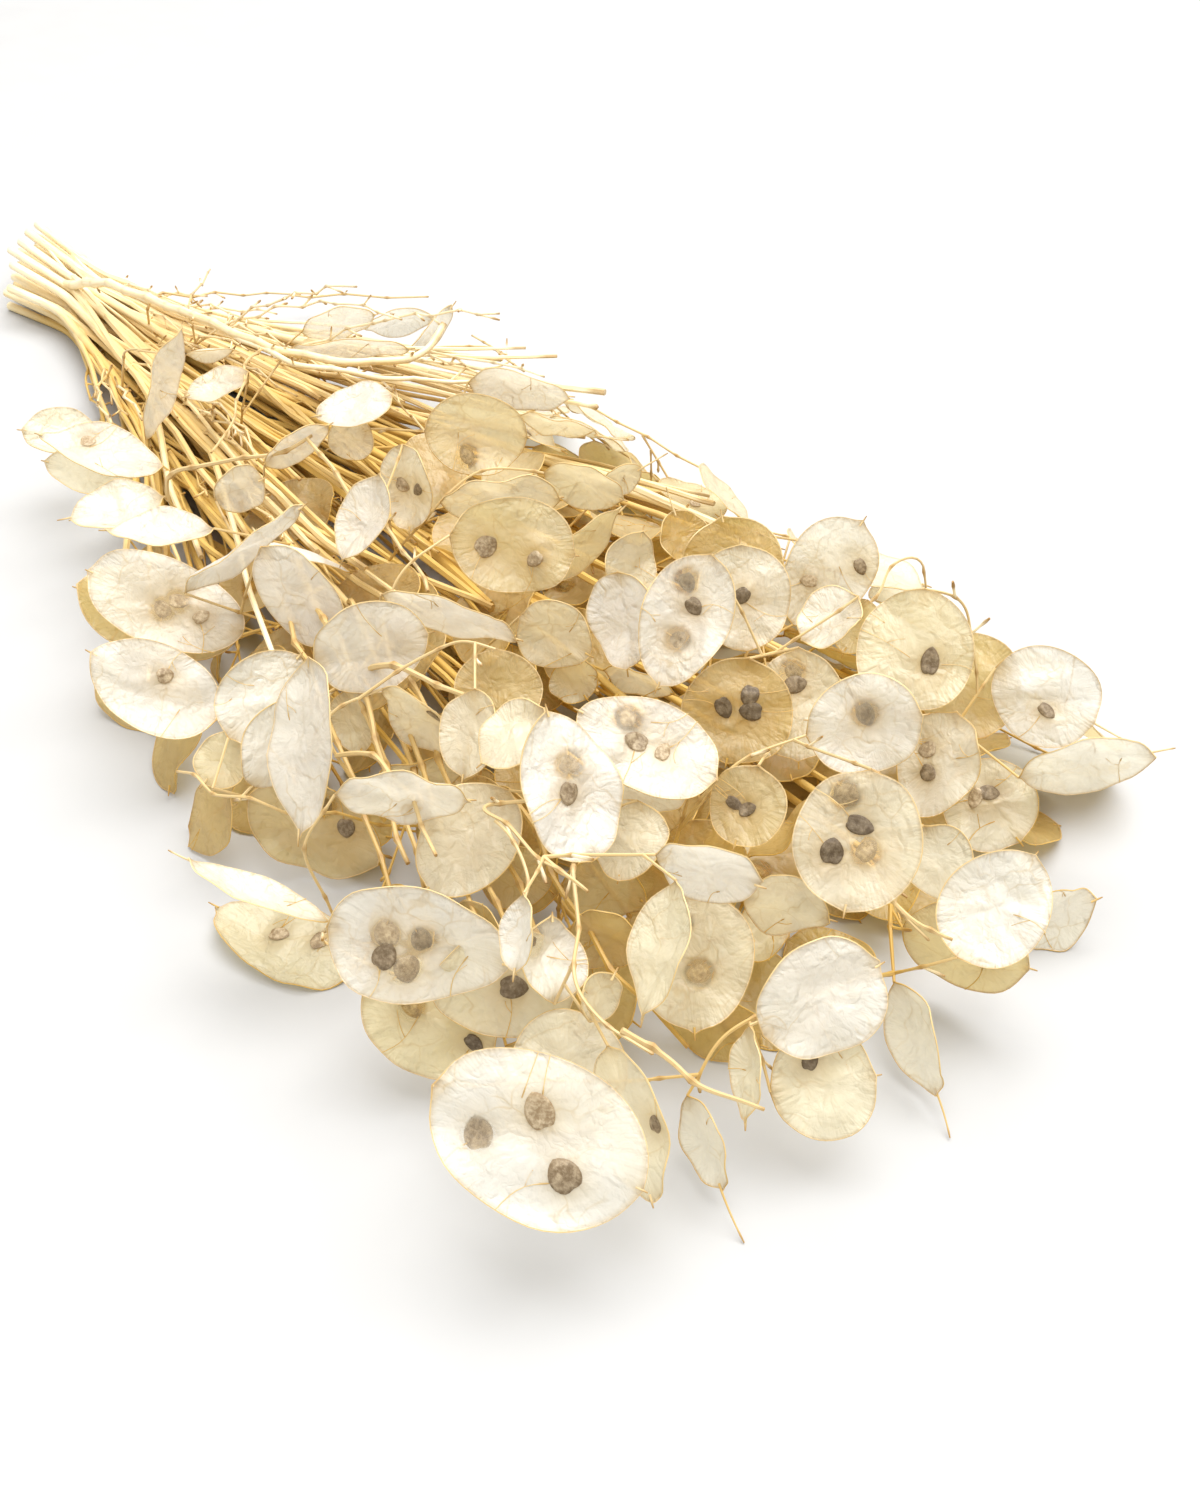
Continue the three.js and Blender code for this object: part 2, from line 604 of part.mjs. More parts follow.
function growStems() {
  let stem = 0;
  stemLayers.forEach((layer, level) => {
    layer.forEach(([fan, reach], slot) => {
      const { path, behind } = stemPath(level, slot, layer.length, fan, reach);
      const corners = [0, ...cornersOf(behind, path.length - 1, stemCorner)];
      addStrand(stem, { path: straighten(path, corners), corners }, stemRadius, stemTipRadius, null);
      stem += 1;
    });
  });
  for (const main of strands.slice()) {
    addShoot(main.stem, main);
  }
  return stem;
}

// ---- Placing the pods ----

const pods = [];

function strandMeetsPod(pod) {
  return strands.some((strand) => strand.path.some((place, k) => {
    const gap = strand.radii[k] + strandGap;
    const off = offBlade(pod, place, gap);
    return off !== null && Math.abs(off) < gap;
  }));
}

function isFree(pod) {
  return lowestPoint(pod) > -0.001
    && !pods.some((other) => podsMeet(pod, other))
    && !strandMeetsPod(pod);
}

// The three directions of a pod that faces back along a line: its length, side and face.
function facing(line, lengthWay, nod, roll) {
  const face = line.clone().negate();
  const length = lengthWay.clone().addScaledVector(face, -lengthWay.dot(face)).normalize();
  const side = face.clone().cross(length);
  length.applyAxisAngle(side, -radians(nod));
  face.applyAxisAngle(side, -radians(nod));
  side.applyAxisAngle(length, radians(roll));
  face.applyAxisAngle(length, radians(roll));
  return { length, side, face };
}

// The place in a pod's plane that is seen at a place in the window.
function seenOn(pod, across, down) {
  const line = sightLine(across, down);
  const reach = pod.middle.clone().sub(eye).dot(pod.face) / line.dot(pod.face);
  const place = eye.clone().addScaledVector(line, reach).sub(pod.middle);
  return [place.dot(pod.length), place.dot(pod.side)];
}

// A seed's place, moved in from the rim where it would stick out.
function keepInside(pod, [along, across]) {
  const room = pod.long / 2 - 1.5 * seedRadius;
  const inner = Math.max(-room, Math.min(room, along));
  const aside = Math.max(0, halfWidth(pod, inner) - seedRadius);
  return [inner, Math.max(-aside, Math.min(aside, across))];
}

// How far the given try slides: nothing, then back and forth and further each time.
function slideBy(tries) {
  return Math.ceil(tries / 2) * (tries % 2 === 0 ? -slideStep : slideStep);
}

function layPod(row) {
  const [baseAcross, baseDown, tipAcross, tipDown, wide, nod, roll, lift, form, style, seeds] = row;
  const line = sightLine((baseAcross + tipAcross) / 2, (baseDown + tipDown) / 2);
  const lengthWay = sightLine(tipAcross, tipDown).sub(sightLine(baseAcross, baseDown));
  const pod = { ...podForms[form], wide, style, lift };
  const away = moundDistance(line) - (lift === onTable ? 0 : lift);
  pod.long = lengthWay.length() * away / Math.cos(radians(nod));
  for (const turn of rollTries) {
    Object.assign(pod, facing(line, lengthWay, nod, roll + turn));
    moveTo(pod, eye.clone().addScaledVector(line, away));
    if (lift === onTable) {
      moveTo(pod, pod.middle.clone().addScaledVector(line, lowestPoint(pod) / -line.z));
    }
    const start = pod.middle.clone();
    for (let tries = 0; tries < (lift === onTable ? 1 : slideTries); tries += 1) {
      moveTo(pod, start.clone().addScaledVector(line, slideBy(tries)));
      if (isFree(pod) && !pods.some((other) => other.lift >= lift + coverLift && covers(other, pod))) {
        pod.seeds = seeds.map(([across, down]) => keepInside(pod, seenOn(pod, across, down)));
        pods.push(pod);
        return;
      }
    }
  }
}

// A filler faces up and out from the mound, more to the side the further it lies from the ridge.
function layFiller(seen, low) {
  for (let tries = 0; tries < fillerTries; tries += 1) {
    const x = between(...fillerSpan);
    const share = between(...(low ? lowShares : fillerShares));
    const y = share > 0 ? share * lookUp(moundFarEdge, x) : -share * lookUp(moundNearEdge, x);
    const z = moundHeight(x, y) * between(...fillerDepths);
    const heading = radians(between(...fillerHeadings));
    const lengthWay = new THREE.Vector3(Math.cos(heading), Math.sin(heading), between(...fillerSlopes));
    const aside = between(-fillerAside, fillerAside);
    const outward = new THREE.Vector3(aside, fillerOutward[0] + fillerOutward[1] * share, fillerUpward);
    const form = draw() < roundShare ? "round" : "egg";
    const turn = between(-fillerTurn, fillerTurn);
    const pod = { ...podForms[form], ...facing(outward.normalize().negate(), lengthWay, 0, turn) };
    pod.long = between(...fillerLengths);
    pod.wide = pod.long * between(...fillerWidths);
    pod.style = 0;
    const hasSeed = draw() < seedShare;
    pod.seeds = hasSeed ? [[between(-seedAside, seedAside), between(-seedAside, seedAside)]] : [];
    moveTo(pod, new THREE.Vector3(x, y, z));
    if (low) {
      moveTo(pod, new THREE.Vector3(x, y, z - lowestPoint(pod)));
    }
    if (isFree(pod) && !seen.some((other) => covers(other, pod))) {
      pods.push(pod);
      return;
    }
  }
}

// ---- Twigs ----

function twigIsFree(stem, path, own) {
  for (const pod of pods) {
    if (pod !== own && lineMeets(pod, path, twigGap)) {
      return false;
    }
  }
  return !strandsMeet(stem, path, thickestTwig, strandGap);
}

// Joins what starts at a base and runs on along a way to the nearest strand that a clear twig
// can come from.
function growTwig(base, onward, ending, own, thick) {
  const approach = base.clone().addScaledVector(onward, -twigApproach);
  const choices = [];
  for (const strand of strands) {
    const first = strand.parent ? 2 : Math.floor(strand.path.length * bareRun);
    for (let k = first; k < strand.path.length - 1; k += 2) {
      const gap = approach.clone().sub(strand.path[k]);
      const distance = gap.length();
      const forward = gap.dot(wayAt(strand.path, k)) / distance;
      const cost = distance * (turnCost[0] - turnCost[1] * forward) * (1 + crowdCost * loads[strand.stem]);
      if (distance <= longestTwig) {
        choices.push({ strand, k, distance, cost });
      }
    }
  }
  choices.sort((one, other) => one.cost - other.cost);
  for (const { strand, k, distance } of choices.slice(0, twigTries)) {
    for (const bow of twigBows) {
      const reach = (distance + twigApproach) * bow;
      const leaving = wayAt(strand.path, k).multiplyScalar(reach);
      const arriving = onward.clone().multiplyScalar(reach);
      const spacing = distance > longTwig ? twigCorner : twigCorner / 2;
      const { path, corners } = curvePath(strand.path[k], leaving, arriving, base, spacing);
      if (ending.length > 0) {
        path.push(...ending);
        corners.push(path.length - 1);
      }
      if (path.every((place) => place.z > thick) && twigIsFree(strand.stem, path, own)) {
        const twig = addStrand(strand.stem, { path, corners }, thick, twigRadius, strand);
        loads[strand.stem] += 1;
        for (let carrier = strand; carrier; carrier = carrier.parent) {
          carrier.carried += 1;
        }
        return twig;
      }
    }
  }
  return null;
}

// A bare branch that shows between the pods, as it is seen through the window.
function addBranch([fromAcross, fromDown, toAcross, toDown, lift, thick]) {
  const ends = [[fromAcross, fromDown], [toAcross, toDown]].map(([across, down]) => {
    const line = sightLine(across, down);
    return { line, away: moundDistance(line) - lift };
  });
  for (let tries = 0; tries < slideTries; tries += 1) {
    const slide = slideBy(tries);
    const [from, to] = ends.map(({ line, away }) => eye.clone().addScaledVector(line, away + slide));
    const onward = to.clone().sub(from);
    const steps = Math.ceil(onward.length() / strandStep);
    const path = [];
    for (let step = 1; step <= steps; step += 1) {
      path.push(from.clone().lerp(to, step / steps));
    }
    if (growTwig(from, onward.normalize(), path, null, thick)) {
      return;
    }
  }
}

// ---- Solids ----

const twigRoot = 3; // how far a twig or a style runs on inside the blade
const rootRadius = 0.3; // at the end of that root
const shootSides = 4;
const twigSides = 3;
const steepest = 0.95; // rise of a strand that has no level direction across it

function solidOf(positions, faces) {
  let geometry = new THREE.BufferGeometry();
  const values = positions.flatMap((place) => place.toArray());
  geometry.setAttribute("position", new THREE.Float32BufferAttribute(values, 3));
  geometry.setIndex(faces.flat());
  geometry = mergeVertices(geometry, 1e-4);
  return new wasm.Manifold(new wasm.Mesh({
    numProp: 3,
    vertProperties: Float32Array.from(geometry.attributes.position.array),
    triVerts: Uint32Array.from(geometry.index.array),
  }));
}

// A tube along a line of points, with one flat side underneath where it runs level. Each ring
// is turned as little as possible against the one before.
function tube(places, radii, sides) {
  const positions = [];
  const start = wayAt(places, 0);
  const steep = Math.abs(start.z) > steepest;
  const side = steep ? new THREE.Vector3(1, 0, 0) : start.clone().cross(up);
  places.forEach((place, k) => {
    const way = wayAt(places, k);
    side.addScaledVector(way, -side.dot(way)).normalize();
    const top = side.clone().cross(way);
    for (let corner = 0; corner < sides; corner += 1) {
      const turn = -Math.PI / 2 + (corner + 0.5) * 2 * Math.PI / sides;
      const across = radii[k] * Math.cos(turn);
      positions.push(blend(place, side, across, top, radii[k] * Math.sin(turn)));
    }
  });
  const faces = [];
  const last = (places.length - 1) * sides;
  for (let corner = 0; corner < sides; corner += 1) {
    const next = (corner + 1) % sides;
    for (let k = 0; k < last; k += sides) {
      faces.push([k + corner, k + sides + corner, k + next]);
      faces.push([k + next, k + sides + corner, k + sides + next]);
    }
  }
  for (let corner = 1; corner < sides - 1; corner += 1) {
    faces.push([0, corner, corner + 1]);
    faces.push([last, last + corner + 1, last + corner]);
  }
  return solidOf(positions, faces);
}

// A strand's tube, with a ring at each corner, and at the end of its root where it has one.
function strandTube(strand, sides, root) {
  const places = strand.corners.map((corner) => strand.path[corner]);
  const radii = strand.corners.map((corner) => strand.radii[corner]);
  return tube(places.concat(root), radii.concat(root.map(() => rootRadius)), sides);
}

// A blade: a fan of triangles round its middle on each face, joined along the rim.
function bladeSolid(pod) {
  const positions = [];
  for (const off of [bladeThickness / 2, -bladeThickness / 2]) {
    for (let corner = 0; corner < pod.corners; corner += 1) {
      positions.push(rimPoint(pod, corner).addScaledVector(pod.face, off));
    }
    positions.push(pod.middle.clone().addScaledVector(pod.face, off));
  }
  const faces = [];
  const under = pod.corners + 1;
  for (let corner = 0; corner < pod.corners; corner += 1) {
    const next = (corner + 1) % pod.corners;
    faces.push([pod.corners, corner, next]);
    faces.push([under + pod.corners, under + next, under + corner]);
    faces.push([corner, under + corner, under + next]);
    faces.push([corner, under + next, next]);
  }
  return solidOf(positions, faces);
}

// A point in the middle of the blade's thickness, on the flat facets that run from its middle
// to its corners.
function onFacet(pod, along, across) {
  for (let corner = 0; corner < pod.corners; corner += 1) {
    const one = outlinePoint(pod, 2 * Math.PI * corner / pod.corners, 1);
    const next = outlinePoint(pod, 2 * Math.PI * (corner + 1) / pod.corners, 1);
    const area = one[0] * next[1] - one[1] * next[0];
    const a = (along * next[1] - across * next[0]) / area;
    const b = (one[0] * across - one[1] * along) / area;
    if (a >= 0 && b >= 0) {
      const off = a * curl(pod, ...one) + b * curl(pod, ...next);
      return blend(pod.middle, pod.length, along, pod.side, across).addScaledVector(pod.face, off);
    }
  }
  return pod.middle.clone();
}

// A flat seed: a low point on each face of the blade.
function seedSolid(pod, along, across) {
  const middle = onFacet(pod, along, across);
  const positions = [
    middle.clone().addScaledVector(pod.face, seedSwell),
    middle.clone().addScaledVector(pod.face, -seedSwell),
  ];
  for (let corner = 0; corner < seedCorners; corner += 1) {
    const turn = 2 * Math.PI * (corner + 0.25) / seedCorners;
    const outAlong = seedRadius * Math.cos(turn);
    positions.push(blend(middle, pod.length, outAlong, pod.side, seedRadius * Math.sin(turn)));
  }
  const faces = [];
  for (let corner = 0; corner < seedCorners; corner += 1) {
    const next = (corner + 1) % seedCorners;
    faces.push([0, 2 + corner, 2 + next]);
    faces.push([1, 2 + next, 2 + corner]);
  }
  return solidOf(positions, faces);
}

function styleSolid(pod) {
  const root = onFacet(pod, pod.long / 2 - twigRoot, 0);
  const base = rimPoint(pod, 0);
  return tube([root, base, styleEnd(pod)], [rootRadius, twigRadius, rootRadius], twigSides);
}

// A pod with its own twig, which runs a little way into the blade.
function podSolids(pod) {
  const root = onFacet(pod, -pod.long / 2 + twigRoot, 0);
  const solids = [bladeSolid(pod), strandTube(pod.twig, twigSides, [root])];
  for (const [along, across] of pod.seeds) {
    solids.push(seedSolid(pod, along, across));
  }
  if (pod.style > 0) {
    solids.push(styleSolid(pod));
  }
  return solids;
}

function geometryOf(solid) {
  const { vertProperties, triVerts } = solid.getMesh();
  const geometry = new THREE.BufferGeometry();
  geometry.setAttribute("position", new THREE.BufferAttribute(Float32Array.from(vertProperties), 3));
  geometry.setIndex(Array.from(triVerts));
  geometry.computeVertexNormals();
  return geometry;
}

// ---- The bunch ----

const stemCount = growStems();
const loads = new Array(stemCount).fill(0);

// The pods that stand out most are placed first.
podRows.sort((one, other) => other[7] - one[7]).forEach(layPod);
const seenPods = pods.slice();
for (let k = 0; k < fillerCount; k += 1) {
  layFiller(seenPods, k < lowFillers);
}

function nearestStrand(pod) {
  const base = onBlade(pod, -pod.long / 2, 0);
  const places = strands.flatMap((strand) => strand.path);
  return Math.min(...places.map((place) => place.distanceTo(base)));
}

// Twigs grow to the pods nearest a stem first, so that the later ones can branch off them.
const order = pods.map((pod) => ({ pod, away: nearestStrand(pod) }));
order.sort((one, other) => one.away - other.away);
branchRows.forEach(addBranch);
for (const { pod } of order) {
  pod.twig = growTwig(onBlade(pod, -pod.long / 2, 0), pod.length, [], pod, twigRadius);
}

// A twig is thicker the more it carries.
for (const { twig } of pods.filter((pod) => pod.twig)) {
  const thick = Math.min(thickestTwig, twigRadius + twigGrowth * (twig.carried - 1));
  twig.radii = twig.path.map((place, k) => mix(thick, twigRadius, k / (twig.path.length - 1)));
}

const strawFinish = { color: 0xe6d3a0, roughness: 0.75, metalness: 0 };

const bunch = new THREE.Group();
for (let stem = 0; stem < stemCount; stem += 1) {
  const solids = [];
  for (const strand of strands.filter((one) => one.stem === stem)) {
    if (!strand.parent) {
      solids.push(strandTube(strand, stemSides, []));
    } else if (!pods.some((pod) => pod.twig === strand)) {
      solids.push(strandTube(strand, shootSides, []));
    }
  }
  for (const pod of pods.filter((one) => one.twig && one.twig.stem === stem)) {
    solids.push(...podSolids(pod));
  }
  // Where surfaces cross closely, a sealed hollow or a scrap can be left: only the stem is kept.
  const bodies = solids.reduce((sum, solid) => sum.add(solid)).decompose();
  bodies.sort((one, other) => other.volume() - one.volume());
  const mesh = new THREE.Mesh(geometryOf(bodies[0]), new THREE.MeshStandardMaterial(strawFinish));
  mesh.name = `stem_${String(stem + 1).padStart(2, "0")}`;
  mesh.position.set(-middleOffset[0], -middleOffset[1], 0);
  bunch.add(mesh);
}

export default bunch;
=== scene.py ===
# A bunch of dried honesty on a pale table: straw stems, forked twigs, papery pod walls, seeds.
import json
import math
import random

import bpy
import numpy as np
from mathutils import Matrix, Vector

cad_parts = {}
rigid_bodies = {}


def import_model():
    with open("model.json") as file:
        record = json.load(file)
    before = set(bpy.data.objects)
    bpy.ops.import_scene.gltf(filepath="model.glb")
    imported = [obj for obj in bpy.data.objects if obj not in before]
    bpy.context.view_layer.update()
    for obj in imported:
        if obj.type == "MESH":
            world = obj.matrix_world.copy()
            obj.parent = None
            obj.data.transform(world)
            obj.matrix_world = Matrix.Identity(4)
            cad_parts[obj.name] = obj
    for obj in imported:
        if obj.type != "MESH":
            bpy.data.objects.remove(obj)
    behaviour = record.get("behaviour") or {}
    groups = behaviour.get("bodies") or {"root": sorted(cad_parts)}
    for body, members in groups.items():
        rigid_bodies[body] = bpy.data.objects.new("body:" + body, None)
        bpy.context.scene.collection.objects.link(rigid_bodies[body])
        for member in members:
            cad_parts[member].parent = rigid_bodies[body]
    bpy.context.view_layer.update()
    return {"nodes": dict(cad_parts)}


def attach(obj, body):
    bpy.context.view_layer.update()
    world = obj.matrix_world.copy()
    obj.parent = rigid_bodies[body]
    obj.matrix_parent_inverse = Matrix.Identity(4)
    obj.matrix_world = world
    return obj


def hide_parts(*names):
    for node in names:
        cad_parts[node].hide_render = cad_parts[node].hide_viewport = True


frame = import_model()
np.seterr(invalid="ignore", divide="ignore")

# The bunch is arranged in millimetres: X from the cut ends to the tips, Y across it, Z up.
bunch = {
    "middle": [-135, -5.4],  # X and Y of the middle of the foot
    "seed": 1871,  # for every draw that places something
    "step": 3,  # between the points of a strand
    "gap": 1,  # kept between strands
}
stems = {
    "cutX": -403, "cutSkew": 1.7, "cutStagger": 5, "cutSlant": 0.11, "cutSpread": 0.5,
    "waistX": -351, "waistY": 9, "pitch": 5.0, "layerShift": 0.4, "fanBend": 1.15,
    "radius": 2.3, "tipRadius": 1.1, "sides": 5, "corner": 20,
    "flatRun": 0.2, "evenRun": 0.35, "bareRun": 0.12, "wander": 5, "waves": [0.8, 1.6],
    "tipHeight": [8, 18, 29, 40],
    "layers": [  # fan in degrees and reach, layer by layer from the table up
        [[-14, 300], [-9, 415], [-3, 440], [4, 440], [11, 390]],
        [[-15, 230], [-12, 375], [-6, 430], [1, 445], [8, 430], [15, 330]],
        [[-13, 300], [-7, 400], [0, 435], [6, 425], [12, 340], [19, 225]],
        [[-10, 320], [-3, 385], [4, 400], [10, 340], [17, 255]],
    ],
}
shoots = {
    "tries": 16, "leaves": [0.16, 0.42], "turns": [4, 15], "lengths": [110, 230],
    "rises": [-6, 16], "limit": 105, "lowest": 3, "radius": 1.2, "tipRadius": 0.75, "corner": 18,
}
twigs = {
    "tries": 300, "longest": 130, "approach": 8, "bows": [0.35, 0.15, 0.6],
    "turnCost": [1.25, 0.55], "crowdCost": 0.06, "growth": 0.13, "gap": 1.8,
    "radius": 0.55, "thickest": 1.1, "corner": 16, "long": 45,
}
window = {"turn": 51, "down": 40, "eyeAway": 485, "away": 412, "middle": [150, 187.5]}
mound = {
    "ridge": [[-351, 26], [-300, 34], [-200, 46], [-100, 57], [0, 63], [80, 60], [130, 44], [168, 6]],
    "far": [[-351, 24], [-300, 50], [-220, 95], [-100, 110], [0, 114], [110, 112], [168, 60]],
    "near": [
        [-351, -12], [-300, -50], [-230, -78], [-100, -116], [0, -134], [110, -138], [168, -80],
    ],
    "top": 110, "foot": 8,
}
wall = {
    "thickness": 0.65, "gap": 2.3, "spokes": 12, "seedRadius": 3.3,
    "rollTries": [0, 12, -12, 24, -24], "slideTries": 50, "slideStep": 1.5, "coverLift": 2,
    "forms": {  # point of the ends, wider tip half, curl across and along, corners
        "round": {"point": -0.05, "egg": 0.05, "cup": 1.0, "bend": 1.0, "corners": 9},
        "egg": {"point": 0.05, "egg": -0.14, "cup": 1.4, "bend": 1.2, "corners": 9},
        "leaf": {"point": 0.4, "egg": -0.1, "cup": 2.2, "bend": 1.5, "corners": 7},
        "bowl": {"point": -0.05, "egg": 0, "cup": 4.5, "bend": 2.5, "corners": 9},
    },
}
fillers = {
    "count": 24, "low": 4, "tries": 60, "span": [-170, 125], "shares": [-0.8, 0.95],
    "lowShares": [0.7, 0.95], "depths": [0.2, 0.95], "headings": [-70, 70],
    "slopes": [-0.4, 0.3], "lengths": [30, 40], "widths": [0.68, 0.8], "turn": 25,
    "aside": 0.6, "outward": [-0.4, 1.2], "upward": 0.8, "roundShare": 0.7,
    "seedShare": 0.35, "seedAside": 5,
}
onTable = -1000  # lift of a pod whose rim touches the table

